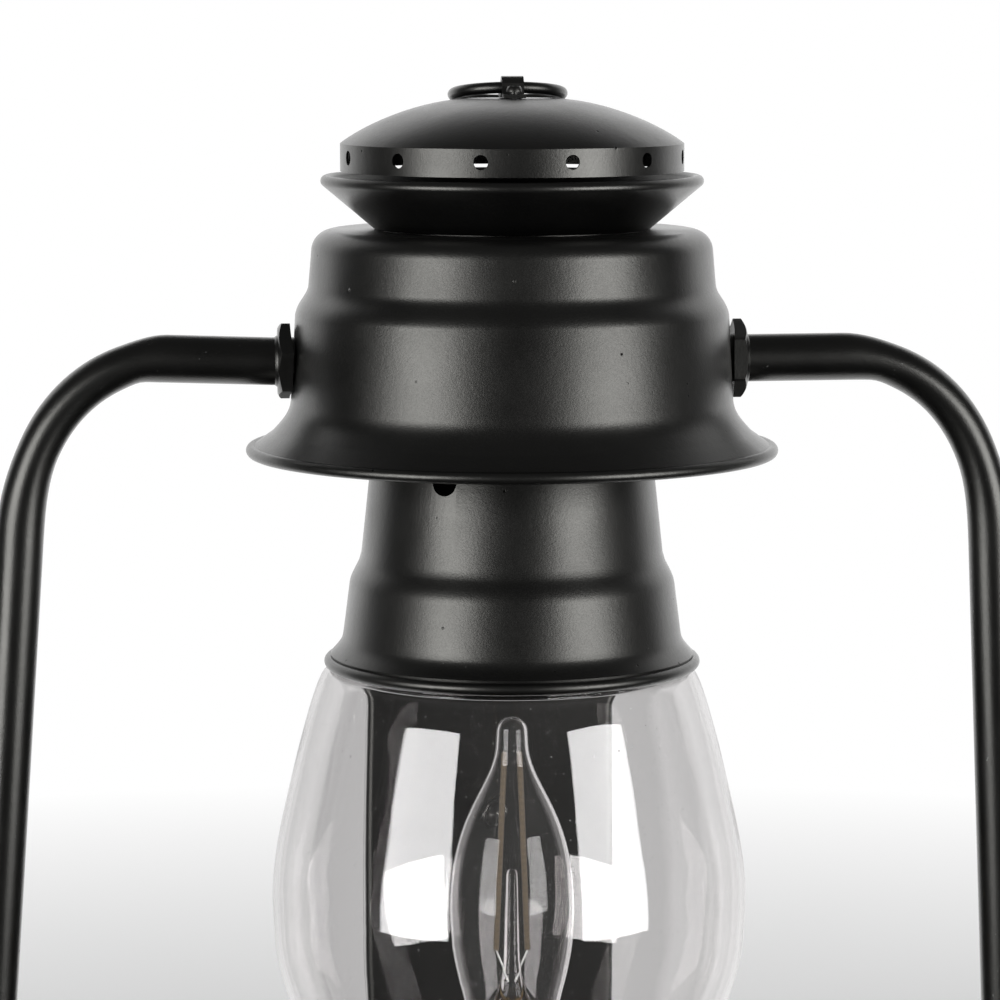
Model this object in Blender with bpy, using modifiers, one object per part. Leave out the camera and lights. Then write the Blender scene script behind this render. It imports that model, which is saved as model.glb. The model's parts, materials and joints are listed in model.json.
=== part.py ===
"""Barn lantern made as an electric wall light.

A stepped hood hangs on two bent side tubes over a clear glass globe. Inside the hood a sprung
chimney slides up to free the globe. The tank below holds the lamp holder and its switch, and a
short nipple at its back joins it to a rectangular wall plate.

The frame: +Z up, +X to the right of somebody who faces the lantern, +Y into the wall. The origin is
the middle of the mounting bar's back face, in the plane of the wall.
"""

import math

import bmesh
import bpy
from mathutils import Vector

MM = 0.001
GAP = 0.3 * MM  # between pieces that touch
COLLECTION = "barn_lantern"

# Driving dimensions. Heights are measured from the hood's rolled rim, and radii from the lantern's axis.
RIM_HEIGHT = 155.0 * MM  # rim above the middle of the wall plate
PLATE_DEPTH = 20.0 * MM
AXIS_STANDOFF = PLATE_DEPTH + 80.0 * MM
SHEET = 0.8 * MM  # thickness of the pressed steel
BEAD = 1.6 * MM  # radius of the rolled edges

RIM_RADIUS = 73.2 * MM
HOOD_TOP = 60.4 * MM
HOOD_TOP_RADIUS = 55.0 * MM
HOOD_WAIST_RADIUS = 60.8 * MM
HOOD_HOLE = 36.9 * MM

CHIMNEY_RADIUS = 36.0 * MM
RING_RADIUS = 52.0 * MM  # the beaded ring that sits on the globe
RING_HEIGHT = -58.8 * MM
VENT_BEARING = math.radians(-32.4)  # of the neck's vent hole, from straight in front
VENT_HEIGHT = -5.5 * MM
VENT_RADIUS = 3.6 * MM

CROWN_RADIUS = 52.4 * MM
CROWN_FOOT = HOOD_TOP + GAP
CAP_FOOT = 76.4 * MM
CAP_TOP = 96.0 * MM
LIFT_RING_RADIUS = 15.0 * MM
LIFT_RING_WIRE = 1.6 * MM
LIFT_RING_HEIGHT = CAP_TOP + 3.0 * MM
LIFT_RING_LIE = 8.0  # degrees below level, where the ring rests on the crown behind the saddle

TUBE_RADIUS = 6.55 * MM
TUBE_WALL = 1.0 * MM
TUBE_TOP = 24.6 * MM  # height of the tubes where they leave the hood
TUBE_BEND = 44.0 * MM  # radius of the lower bends
# The tubes were bent by hand, so the two differ a little. From the hood each tube rises to its upper bend,
# which starts at one radius and ends at another, lower down. The pulls shape the bend at its two ends.
LEGS = {
    "left": {
        "rise": 0.9 * MM, "bend_start": 94.7 * MM, "bend_end": 135.1 * MM, "bend_drop": 48.2 * MM,
        "pulls": (13.5 * MM, 38.3 * MM), "splay": math.radians(4.0),
    },
    "right": {
        "rise": 0.2 * MM, "bend_start": 91.6 * MM, "bend_end": 134.4 * MM, "bend_drop": 52.3 * MM,
        "pulls": (18.8 * MM, 39.6 * MM), "splay": math.radians(2.4),
    },
}
SIDES = {"left": -1, "right": 1}
NUT_FLATS = 19.0 * MM
NUT_THICKNESS = 3.3 * MM  # above the crest of the round wall that it sits on
NUT_SADDLE = 1.6 * MM  # how far its seat reaches back round the wall
JAM_NUT = 3.6 * MM  # thickness of the jam and lock nuts

GLASS = 1.6 * MM
GLOBE_SHIFT = -0.8 * MM  # the globe stands loose in its gallery, a little to the left
GLOBE_MOUTH = -54.6 * MM
GLOBE_BELLY = -125.0 * MM
GLOBE_RADIUS = 66.0 * MM
GLOBE_FOOT = -196.0 * MM
GLOBE_FOOT_RADIUS = 43.4 * MM

GALLERY = -198.6 * MM  # top of the gallery's deck
GALLERY_RADIUS = 47.5 * MM
SLEEVE_RADIUS = 21.0 * MM

TANK_TOP = -206.0 * MM
TANK_RADIUS = 70.1 * MM
TANK_JAM_SEAT = 67.9 * MM  # a flat seat for nuts inside the round wall
TANK_RIM = -256.0 * MM
TANK_RIM_RADIUS = 74.4 * MM
TUBE_FOOT = -232.0 * MM  # also the height of the back nipple and the switch

BULB_TIP = -74.8 * MM
CAP_RADIUS = 13.2 * MM  # of the bulb's screw cap
CAP_END = -188.0 * MM

PLATE_WIDTH = 76.5 * MM
PLATE_HEIGHT = 190.0 * MM
PLATE_WALL = 1.0 * MM
PLATE_CORNER = 6.0 * MM
GASKET = 2.0 * MM
BAR_THICKNESS = 2.5 * MM
PLATE_SCREW_PITCH = 76.0 * MM
CENTRE_ROD = 4.8 * MM
NIPPLE_RADIUS = 6.3 * MM
SWITCH_BUSH = 4.8 * MM

STEPS = 28  # facets round the large turned pieces
FINE_STEPS = 16  # and round the small ones
UP = Vector((0, 0, 1))


def clear_scene():
    for old in list(bpy.data.objects):
        bpy.data.objects.remove(old, do_unlink=True)


def collection(name):
    group = bpy.data.collections.new(name)
    bpy.context.scene.collection.children.link(group)
    return group


def paint(name, colour, roughness, metallic=0.0, transmission=0.0):
    """Each sub-part's own material."""
    shader = bpy.data.materials.new(name)
    shader.use_nodes = True
    shader.diffuse_color = (*colour, 1.0)
    principled = shader.node_tree.nodes["Principled BSDF"]
    principled.inputs["Base Color"].default_value = (*colour, 1.0)
    principled.inputs["Roughness"].default_value = roughness
    principled.inputs["Metallic"].default_value = metallic
    principled.inputs["Transmission Weight"].default_value = transmission
    return shader


FINISHES = {
    "black": ((0.016, 0.016, 0.017), 0.42, 0.0),
    "zinc": ((0.62, 0.62, 0.60), 0.35, 1.0),
    "brass": ((0.72, 0.50, 0.20), 0.30, 1.0),
    "phenolic": ((0.03, 0.027, 0.025), 0.50, 0.0),
    "rubber": ((0.02, 0.02, 0.02), 0.85, 0.0),
    "spring": ((0.35, 0.35, 0.36), 0.30, 1.0),
    "glass": ((0.95, 0.96, 0.96), 0.02, 0.0, 1.0),
    "phosphor": ((0.80, 0.52, 0.16), 0.60, 0.0),
    "green": ((0.02, 0.22, 0.05), 0.40, 0.3),
}


def finish_object(name, mesh, look, parent, place=(0, 0, 0), turn=(0, 0, 0)):
    """One named sub-part, at its place under the empty that it rides on."""
    mesh.shade_smooth()
    mesh.set_sharp_from_angle(angle=math.radians(32))
    mesh.materials.append(paint(name, *FINISHES[look]))
    part = bpy.data.objects.new(name, mesh)
    parts.objects.link(part)
    part.parent = parent
    part.location = place
    part.rotation_euler = turn
    return part


def pivot(name, place, parent=None):
    empty = bpy.data.objects.new(name, None)
    empty.empty_display_size = 20 * MM
    parts.objects.link(empty)
    empty.parent = parent
    empty.location = place
    return empty


# Outlines: lists of (radius, height).


def arc(middle_r, middle_z, radius, start, end, count):
    """Points on an arc, from one angle to another in degrees. 0 is outwards and 90 is up."""
    points = []
    for i in range(count + 1):
        angle = math.radians(start + (end - start) * i / count)
        points.append((middle_r + radius * math.cos(angle), middle_z + radius * math.sin(angle)))
    return points


def bezier(start, pull_start, pull_end, end, count):
    """A smooth stretch of outline between two points."""
    points = []
    for i in range(count + 1):
        t = i / count
        weights = ((1 - t) ** 3, 3 * t * (1 - t) ** 2, 3 * t * t * (1 - t), t ** 3)
        corners = (start, pull_start, pull_end, end)
        points.append(tuple(sum(w * c[k] for w, c in zip(weights, corners)) for k in range(2)))
    return points


def bezier_mm(start, pull_start, pull_end, end, count):
    """The same between points given in millimetres."""
    return bezier(*[(r * MM, z * MM) for r, z in (start, pull_start, pull_end, end)], count)


def inset(points, wall):
    """The inner side of an outline that runs down its outer side."""
    inner = []
    for i, point in enumerate(points):
        before = Vector(points[max(i - 1, 0)])
        after = Vector(points[min(i + 1, len(points) - 1)])
        here = Vector(point)
        normals = []
        for a, b in ((before, here), (here, after)):
            if (b - a).length > 1e-9:
                along = (b - a).normalized()
                normals.append(Vector((along.y, -along.x)))
        mitre = sum(normals, Vector((0, 0))).normalized()
        stretch = 1 / max(mitre.dot(normals[0]), 0.5)
        inner.append(tuple(here + mitre * wall * stretch))
    return inner


def sheet_section(outer, wall=SHEET):
    """A closed section of pressed sheet: down the outside and back up the inside."""
    return outer + inset(outer, wall)[::-1]


def screw_mesh(name, section, closed=True):
    """The profile of a turned shape, in the XZ plane."""
    mesh = bpy.data.meshes.new(name)
    count = len(section)
    last = count if closed else count - 1
    edges = [(i, (i + 1) % count) for i in range(last)]
    mesh.from_pydata([(r, 0, z) for r, z in section], edges, [])
    return mesh


def add_screw(part, steps):
    screw = part.modifiers.new("Turned", "SCREW")
    screw.steps = steps
    screw.render_steps = steps
    screw.use_merge_vertices = True
    screw.merge_threshold = 0.00001
    screw.use_smooth_shade = True


def turned(name, section, look, parent, steps=STEPS, place=(0, 0, 0), turn=(0, 0, 0), closed=True):
    part = finish_object(name, screw_mesh(name, section, closed), look, parent, place, turn)
    add_screw(part, steps)
    return part


def cutter(name, mesh, parent=None, place=(0, 0, 0), turn=(0, 0, 0)):
    tool = bpy.data.objects.new(name, mesh)
    cutters.objects.link(tool)
    tool.parent = parent
    tool.location = place
    tool.rotation_euler = turn
    tool.hide_render = True
    tool.display_type = "WIRE"
    return tool


def cylinders_mesh(name, radius, length, middles, direction=UP, sides=16):
    """One or more equal cylinders, centred on the points given and lying along a direction."""
    shape = bmesh.new()
    turn = UP.rotation_difference(direction).to_matrix().to_4x4()
    for middle in middles:
        made = bmesh.ops.create_cone(
            shape, cap_ends=True, segments=sides, radius1=radius, radius2=radius, depth=length
        )
        bmesh.ops.transform(shape, matrix=turn, verts=made["verts"])
        bmesh.ops.translate(shape, vec=Vector(middle), verts=made["verts"])
    mesh = bpy.data.meshes.new(name)
    shape.to_mesh(mesh)
    shape.free()
    return mesh


def boolean(part, tool, operation="DIFFERENCE"):
    change = part.modifiers.new(tool.name, "BOOLEAN")
    change.operation = operation
    change.object = tool


def drill(part, parent, radius, length, middles, direction=UP, sides=16):
    mesh = cylinders_mesh("drill", radius, length, middles, direction, sides)
    boolean(part, cutter("drill_" + part.name, mesh, parent))


def hex_nut(name, look, parent, place, direction, flats=NUT_FLATS, thickness=NUT_THICKNESS, bore=None):
    """A chamfered hexagon nut. Its seat is at the place given, and it stands out along the direction."""
    corner = flats / 2 / math.cos(math.radians(30))
    mesh = cylinders_mesh(name, corner, thickness, [(0, 0, thickness / 2)], sides=6)
    turn = UP.rotation_difference(Vector(direction)).to_euler()
    nut = finish_object(name, mesh, look, parent, place, turn)
    edge = corner + 0.5 * MM
    flat_end = 0.97 * flats / 2
    chamfer = 0.14 * flats / 2
    crown = [(0, thickness), (flat_end, thickness), (edge, thickness - chamfer), (edge, -MM), (0, -MM)]
    round_over = cutter("chamfer_" + name, screw_mesh("chamfer", crown, closed=False), parent, place, turn)
    add_screw(round_over, FINE_STEPS)
    boolean(nut, round_over, "INTERSECT")
    if bore:
        hole = cylinders_mesh("bore", bore, 4 * thickness, [(0, 0, 0)])
        boolean(nut, cutter("bore_" + name, hole, parent, place, turn))
    return nut


def box_mesh(name, size, middle=(0, 0, 0)):
    shape = bmesh.new()
    made = bmesh.ops.create_cube(shape, size=1)
    bmesh.ops.scale(shape, vec=Vector(size), verts=made["verts"])
    bmesh.ops.translate(shape, vec=Vector(middle), verts=made["verts"])
    mesh = bpy.data.meshes.new(name)
    shape.to_mesh(mesh)
    shape.free()
    return mesh


def curve_object(name, points, radius, resolution, cyclic=False, caps=True):
    curve = bpy.data.curves.new(name, "CURVE")
    curve.dimensions = "3D"
    curve.bevel_depth = radius
    curve.bevel_resolution = resolution
    curve.use_fill_caps = caps
    spline = curve.splines.new("POLY")
    spline.points.add(len(points) - 1)
    for point, place in zip(spline.points, points):
        point.co = (*place, 1)
    spline.use_cyclic_u = cyclic
    wire = bpy.data.objects.new(name, curve)
    parts.objects.link(wire)
    return wire


# The hood and the two side tubes.


def build_hood():
    shoulder = 5.8 * MM
    waist_top = 36.6 * MM
    step_top = 45.6 * MM
    outer = [(HOOD_HOLE, HOOD_TOP)]
    outer += arc(HOOD_TOP_RADIUS - shoulder, HOOD_TOP - shoulder, shoulder, 90, 6, 4)
    outer += bezier(
        (HOOD_TOP_RADIUS + 0.8 * MM, step_top), (HOOD_TOP_RADIUS + 1.2 * MM, 42.0 * MM),
        (HOOD_WAIST_RADIUS - 2.2 * MM, 40.4 * MM), (HOOD_WAIST_RADIUS - 1.3 * MM, waist_top), 3,
    )
    outer += bezier(
        (HOOD_WAIST_RADIUS, 13.6 * MM), (HOOD_WAIST_RADIUS + 0.4 * MM, 10.0 * MM),
        (HOOD_WAIST_RADIUS + 2.4 * MM, 8.0 * MM), (66.0 * MM, 4.9 * MM), 3,
    )
    inner = inset(outer, SHEET)
    bead_r = RIM_RADIUS - BEAD
    rolled_edge = arc(bead_r, 0, BEAD, 90, -180, 6)
    hood = turned("hood", outer + rolled_edge + inner[::-1], "black", lantern)
    drill(hood, lantern, TUBE_RADIUS + GAP, 160 * MM, [(0, 0, TUBE_TOP)], Vector((1, 0, 0)), 20)
    return hood


def leg_route(side):
    """From inside the hood, out, down the leg and back into the tank, in the lantern's XZ plane."""
    leg = LEGS[side]
    splay = leg["splay"]
    pull_out, pull_up = leg["pulls"]
    down = Vector((math.sin(splay), -math.cos(splay)))
    start = Vector((leg["bend_start"], TUBE_TOP + leg["rise"]))
    end = Vector((leg["bend_end"], start.y - leg["bend_drop"]))
    points = [(52 * MM, TUBE_TOP), (66 * MM, TUBE_TOP)]
    points += bezier(start, start + Vector((pull_out, 0)), end - down * pull_up, end, 10)
    foot_z = TUBE_FOOT + TUBE_BEND * (1 + math.sin(splay))
    foot_x = end.x + (end.y - foot_z) * math.tan(splay)
    low_bend_x = foot_x - TUBE_BEND * math.cos(splay)
    points += arc(low_bend_x, TUBE_FOOT + TUBE_BEND, TUBE_BEND, math.degrees(splay), -90, 9)
    points.append((62 * MM, TUBE_FOOT))
    return points


def build_side_tube(side):
    sign = SIDES[side]
    route = [(sign * x, 0, z) for x, z in leg_route(side)]
    guide = curve_object("guide_" + side, route, TUBE_RADIUS, 2, caps=False)
    bpy.context.view_layer.update()
    graph = bpy.context.evaluated_depsgraph_get()
    mesh = bpy.data.meshes.new_from_object(guide.evaluated_get(graph))
    bpy.data.objects.remove(guide)
    mesh.name = "side_tube_" + side
    tube = finish_object(mesh.name, mesh, "black", lantern)
    wall = tube.modifiers.new("Wall", "SOLIDIFY")
    wall.thickness = TUBE_WALL
    wall.offset = -1
    return tube


def build_tube_nuts(side):
    """A nut outside the sheet, with its seat cut to the round wall, and a plain jam nut inside."""
    out = Vector((SIDES[side], 0, 0))
    bore = TUBE_RADIUS + GAP
    ends = (("hood", HOOD_WAIST_RADIUS, 57.3 * MM, TUBE_TOP), ("tank", TANK_RADIUS, TANK_JAM_SEAT, TUBE_FOOT))
    for end, wall, jam_seat, height in ends:
        crest = wall + GAP
        place = out * (crest - NUT_SADDLE) + UP * height
        thickness = NUT_THICKNESS + NUT_SADDLE
        nut = hex_nut(f"{end}_nut_{side}", "black", lantern, place, out, thickness=thickness, bore=bore)
        half = NUT_FLATS
        barrel = screw_mesh("barrel", [(0, half), (crest, half), (crest, -half), (0, -half)], closed=False)
        saddle = cutter(f"saddle_{end}_{side}", barrel, lantern, UP * height)
        add_screw(saddle, STEPS)
        boolean(nut, saddle)
        place = out * jam_seat + UP * height
        hex_nut(f"{end}_jam_nut_{side}", "zinc", lantern, place, -out, thickness=JAM_NUT, bore=bore)


# The chimney, which slides up through the hood.


def build_neck():
    top = 66 * MM
    outer = [(CHIMNEY_RADIUS, top), (CHIMNEY_RADIUS, 14 * MM), (38.0 * MM, 5 * MM), (41.6 * MM, -28.4 * MM)]
    outer += bezier_mm((42.2, -30.6), (43.0, -32.6), (44.5, -34.4), (44.9, -37), 3)
    outer += [(46.6 * MM, -50.2 * MM)]
    outer += bezier_mm((46.9, -52), (47.4, -53.6), (48.6, -54.8), (50.2, -56.6), 2)
    inner = inset(outer, SHEET)
    rolled_edge = arc(RING_RADIUS - BEAD, RING_HEIGHT, BEAD, 90, -180, 6)
    neck = turned("neck", outer + rolled_edge + inner[::-1], "black", chimney)
    out = Vector((math.sin(VENT_BEARING), -math.cos(VENT_BEARING), 0))
    drill(neck, chimney, VENT_RADIUS, 12 * MM, [out * 39 * MM + UP * VENT_HEIGHT], out, 12)


def build_crown():
    collar = CHIMNEY_RADIUS + GAP
    foot = 37.8 * MM
    flare_r = CROWN_RADIUS - BEAD
    flare_z = CROWN_FOOT + (flare_r - foot)
    section = [(foot, CROWN_FOOT)]
    section += [(collar, CROWN_FOOT), (collar, CROWN_FOOT + 2 * MM)]
    section += arc(flare_r, flare_z, BEAD, 170, -45, 6)
    turned("crown_cone", section, "black", chimney)

    skirt = 47.0 * MM
    skirt_top = CAP_FOOT + 7.5 * MM
    outer = [(12 * MM, CAP_TOP)]
    pull_down = (42 * MM, skirt_top + 4 * MM)
    outer += bezier((13 * MM, CAP_TOP), (28 * MM, CAP_TOP - MM), pull_down, (skirt, skirt_top), 5)
    outer += [(skirt, CAP_FOOT), (skirt - SHEET, CAP_FOOT)]
    inner = inset(outer[:-2], SHEET)
    dome = [(0, CAP_TOP)] + outer + inner[::-1] + [(0, CAP_TOP - SHEET)]
    cap = turned("crown_cap", dome, "black", chimney, closed=False)
    vent_pairs = 6
    for i in range(vent_pairs):
        angle = math.pi * (i + 0.5) / vent_pairs
        along = Vector((math.cos(angle), math.sin(angle), 0))
        middles = [along * end * skirt + UP * (CAP_FOOT + 4 * MM) for end in (-1, 1)]
        drill(cap, chimney, 2 * MM, 20 * MM, middles, along, 6)


def build_lift_ring():
    """A wire ring in a riveted saddle on top of the crown. It lies back until somebody lifts it."""
    clear = 0.5 * MM
    bore = LIFT_RING_WIRE + clear
    arch = bore + MM
    half_width = 3 * MM
    foot = CAP_TOP + GAP
    flange = 9.5 * MM
    outline = [(-flange, 0), (-flange, MM), (-arch, MM)]
    axis = LIFT_RING_HEIGHT - foot
    for i in range(9):
        angle = math.radians(180 - 22.5 * i)
        outline.append((arch * math.cos(angle), axis + arch * math.sin(angle)))
    outline += [(arch, MM), (flange, MM), (flange, 0), (bore, 0)]
    for i in range(9):
        angle = math.radians(22.5 * i)
        outline.append((bore * math.cos(angle), axis + bore * math.sin(angle)))
    outline += [(-bore, 0)]
    shape = bmesh.new()
    ring = [shape.verts.new((-half_width, y, z)) for y, z in outline]
    face = shape.faces.new(ring)
    grown = bmesh.ops.extrude_face_region(shape, geom=[face])
    moved = [v for v in grown["geom"] if isinstance(v, bmesh.types.BMVert)]
    bmesh.ops.translate(shape, vec=(2 * half_width, 0, 0), verts=moved)
    bmesh.ops.recalc_face_normals(shape, faces=shape.faces)
    mesh = bpy.data.meshes.new("ring_saddle")
    shape.to_mesh(mesh)
    shape.free()
    saddle = finish_object("ring_saddle", mesh, "black", chimney, (0, 0, foot))
    rivet_y = 6.6 * MM
    drill(saddle, chimney, 1.4 * MM, 8 * MM, [(0, rivet_y, foot), (0, -rivet_y, foot)], sides=8)
    cap = bpy.data.objects["crown_cap"]
    drill(cap, chimney, 1.4 * MM, 8 * MM, [(0, rivet_y, CAP_TOP), (0, -rivet_y, CAP_TOP)], sides=8)
    head_foot = foot + MM + GAP
    shank = 1.1 * MM
    for name, y in (("saddle_rivet_front", -rivet_y), ("saddle_rivet_back", rivet_y)):
        section = [(0, head_foot + 1.5 * MM)]
        section += arc(0, head_foot, 2.2 * MM, 60, 0, 2)
        section += [(shank, head_foot), (shank, CAP_TOP - 3 * MM), (0, CAP_TOP - 3 * MM)]
        turned(name, section, "black", chimney, 12, (0, y, 0), closed=False)

    hinge = pivot("lift_ring_hinge", (0, 0, LIFT_RING_HEIGHT), chimney)
    lie = math.radians(LIFT_RING_LIE)
    ring_section = arc(LIFT_RING_RADIUS, 0, LIFT_RING_WIRE, 90, -225, 7)
    # The turned ring lies flat. Moved back by its radius, its near side runs through the saddle.
    wire = turned("lift_ring", ring_section, "black", hinge, STEPS)
    wire.rotation_euler = (-lie, 0, 0)
    wire.location = (0, LIFT_RING_RADIUS * math.cos(lie), -LIFT_RING_RADIUS * math.sin(lie))


def build_spring():
    """The coil between the hood's top and a seat pressed on the chimney."""
    seat = 14.4 * MM
    edge = 44 * MM
    collar = CHIMNEY_RADIUS + GAP
    washer = [(edge, seat + MM), (edge, seat), (collar, seat), (collar, seat + MM)]
    turned("spring_seat", washer, "zinc", chimney)
    wire = 0.9 * MM
    coil = 40.6 * MM
    low = seat + MM + GAP + wire
    high = HOOD_TOP - SHEET - GAP - wire
    turns = 4
    per_turn = 16
    points = []
    for i in range(turns * per_turn + 1):
        # The end turns lie flat, and the ones between climb.
        along = min(max((i - per_turn / 2) / (per_turn * (turns - 1)), 0), 1)
        angle = 2 * math.pi * i / per_turn
        rise = low + (high - low) * along
        points.append((coil * math.cos(angle), coil * math.sin(angle), rise))
    guide = curve_object("guide_spring", points, wire, 1)
    bpy.context.view_layer.update()
    mesh = bpy.data.meshes.new_from_object(guide.evaluated_get(bpy.context.evaluated_depsgraph_get()))
    bpy.data.objects.remove(guide)
    welded = bmesh.new()
    welded.from_mesh(mesh)
    bmesh.ops.remove_doubles(welded, verts=welded.verts, dist=0.00001)
    welded.to_mesh(mesh)
    welded.free()
    finish_object("chimney_spring", mesh, "spring", chimney)


# The globe and the burner that holds it.


def build_globe():
    mouth_r = 45.2 * MM
    outer = [(mouth_r, GLOBE_MOUTH)]
    outer += bezier_mm((45.4, -58.6), (47.4, -60.6), (50.6, -59.6), (52.4, -63.6), 3)
    outer += bezier_mm((52.4, -63.6), (54, -66.6), (57.6, -79), (60, -89.5), 2)[1:]
    outer += bezier(
        (60 * MM, -89.5 * MM), (62.6 * MM, -101 * MM),
        (GLOBE_RADIUS - 0.4 * MM, -111 * MM), (GLOBE_RADIUS, GLOBE_BELLY), 3,
    )[1:]
    outer += bezier(
        (GLOBE_RADIUS - 0.5 * MM, -136 * MM), (64 * MM, -158 * MM),
        (48 * MM, -176 * MM), (GLOBE_FOOT_RADIUS, -189 * MM), 4,
    )
    outer += [(GLOBE_FOOT_RADIUS, GLOBE_FOOT)]
    turned("globe", sheet_section(outer, GLASS), "glass", globe_lift, place=(GLOBE_SHIFT, 0, 0))


def build_burner():
    deck = 1.0 * MM
    hole = SLEEVE_RADIUS + MM
    lip_r = GALLERY_RADIUS - 1.6 * MM
    outer = [(GALLERY_RADIUS, GALLERY + 9 * MM), (GALLERY_RADIUS - 0.6 * MM, GALLERY + 2 * MM)]
    outer += [(lip_r, GALLERY - deck), (hole, GALLERY - deck)]
    inner = [(hole, GALLERY), (lip_r - 0.6 * MM, GALLERY), (GALLERY_RADIUS - 1.6 * MM, GALLERY + 2.4 * MM)]
    inner += [(GALLERY_RADIUS - MM, GALLERY + 9 * MM)]
    gallery = turned("globe_gallery", outer + inner, "black", lantern)
    holes = 12
    ring = 35.5 * MM
    middles = []
    for i in range(holes):
        angle = 2 * math.pi * (i + 0.5) / holes
        middles.append((ring * math.cos(angle), ring * math.sin(angle), GALLERY))
    drill(gallery, lantern, 2.5 * MM, 6 * MM, middles, sides=6)
    seat_top = GLOBE_FOOT - GAP
    seat_foot = GALLERY + GAP
    seat = [(44.4 * MM, seat_top), (44.4 * MM, seat_foot), (40.4 * MM, seat_foot), (40.4 * MM, seat_top)]
    turned("globe_seat", seat, "rubber", lantern)
    collar = [(31 * MM, GALLERY - deck - GAP), (31 * MM, TANK_TOP + GAP)]
    turned("burner_collar", sheet_section(collar), "black", lantern)
    sleeve = [(SLEEVE_RADIUS, -165.5 * MM), (SLEEVE_RADIUS, TANK_TOP + 0.4 * MM)]
    turned("socket_sleeve", sheet_section(sleeve), "black", lantern, FINE_STEPS)


def build_lamp_holder():
    body = 19.4 * MM
    shell = 14.5 * MM
    foot = TANK_TOP - SHEET - GAP
    well = CAP_END - 6.0 * MM
    rod_hole = CENTRE_ROD + GAP
    rod_top = foot + 5 * MM
    top = -168 * MM
    section = [(0, well), (shell + GAP, well), (shell + GAP, top), (body, top)]
    section += [(body, foot), (rod_hole, foot), (rod_hole, rod_top), (0, rod_top)]
    turned("lamp_holder", section, "phenolic", lantern, FINE_STEPS, closed=False)
    shell_foot = well + GAP
    inner = CAP_RADIUS + 0.5 * MM
    shell_top = top - MM
    eye = 6 * MM  # the hole in the shell's bottom, round the middle contact
    cup = [(shell, shell_top), (shell, shell_foot), (eye, shell_foot), (eye, shell_foot + 0.6 * MM)]
    cup += [(inner, shell_foot + 0.6 * MM), (inner, shell_top)]
    turned("holder_shell", cup, "brass", lantern, FINE_STEPS)
    contact = [(0, CAP_END - 2.9 * MM), (3.2 * MM, CAP_END - 2.9 * MM), (4 * MM, shell_foot), (0, shell_foot)]
    turned("holder_contact", contact, "brass", lantern, 16, closed=False)

    bridge_top = foot - GAP
    bridge = 2 * MM
    half = 46 * MM
    middle = (0, 0, bridge_top - bridge / 2)
    mesh = box_mesh("holder_bridge", (2 * half, 16 * MM, bridge), middle)
    strap = finish_object("holder_bridge", mesh, "zinc", lantern)
    screw_x = 38 * MM
    drill(strap, lantern, rod_hole, 8 * MM, [middle], sides=16)
    screw_hole = 2.3 * MM
    spots = [(-screw_x, 0, middle[2]), (screw_x, 0, middle[2])]
    drill(strap, lantern, screw_hole, 8 * MM, spots, sides=12)
    spots = [(-screw_x, 0, TANK_TOP), (screw_x, 0, TANK_TOP)]
    drill(bpy.data.objects["tank"], lantern, screw_hole, 3 * MM, spots, sides=12)
    head = TANK_TOP + GAP
    screw_end = bridge_top - bridge - 3 * MM
    for side, sign in SIDES.items():
        screw = [(0, head + 2.2 * MM)] + arc(0, head - 0.6 * MM, 3.8 * MM, 45, 9, 2)
        screw += [(3.7 * MM, head), (2 * MM, head), (2 * MM, screw_end), (0, screw_end)]
        turned("bridge_screw_" + side, screw, "zinc", lantern, 12, (sign * screw_x, 0, 0), closed=False)
    rod = [(CENTRE_ROD, rod_top - GAP), (CENTRE_ROD, -255 * MM)]
    turned("centre_rod", sheet_section(rod, 1.3 * MM), "brass", lantern, 16)
    nut_seat = (0, 0, bridge_top - bridge - GAP)
    hex_nut("rod_nut", "brass", lantern, nut_seat, (0, 0, -1), 14 * MM, 3 * MM, rod_hole)


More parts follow.
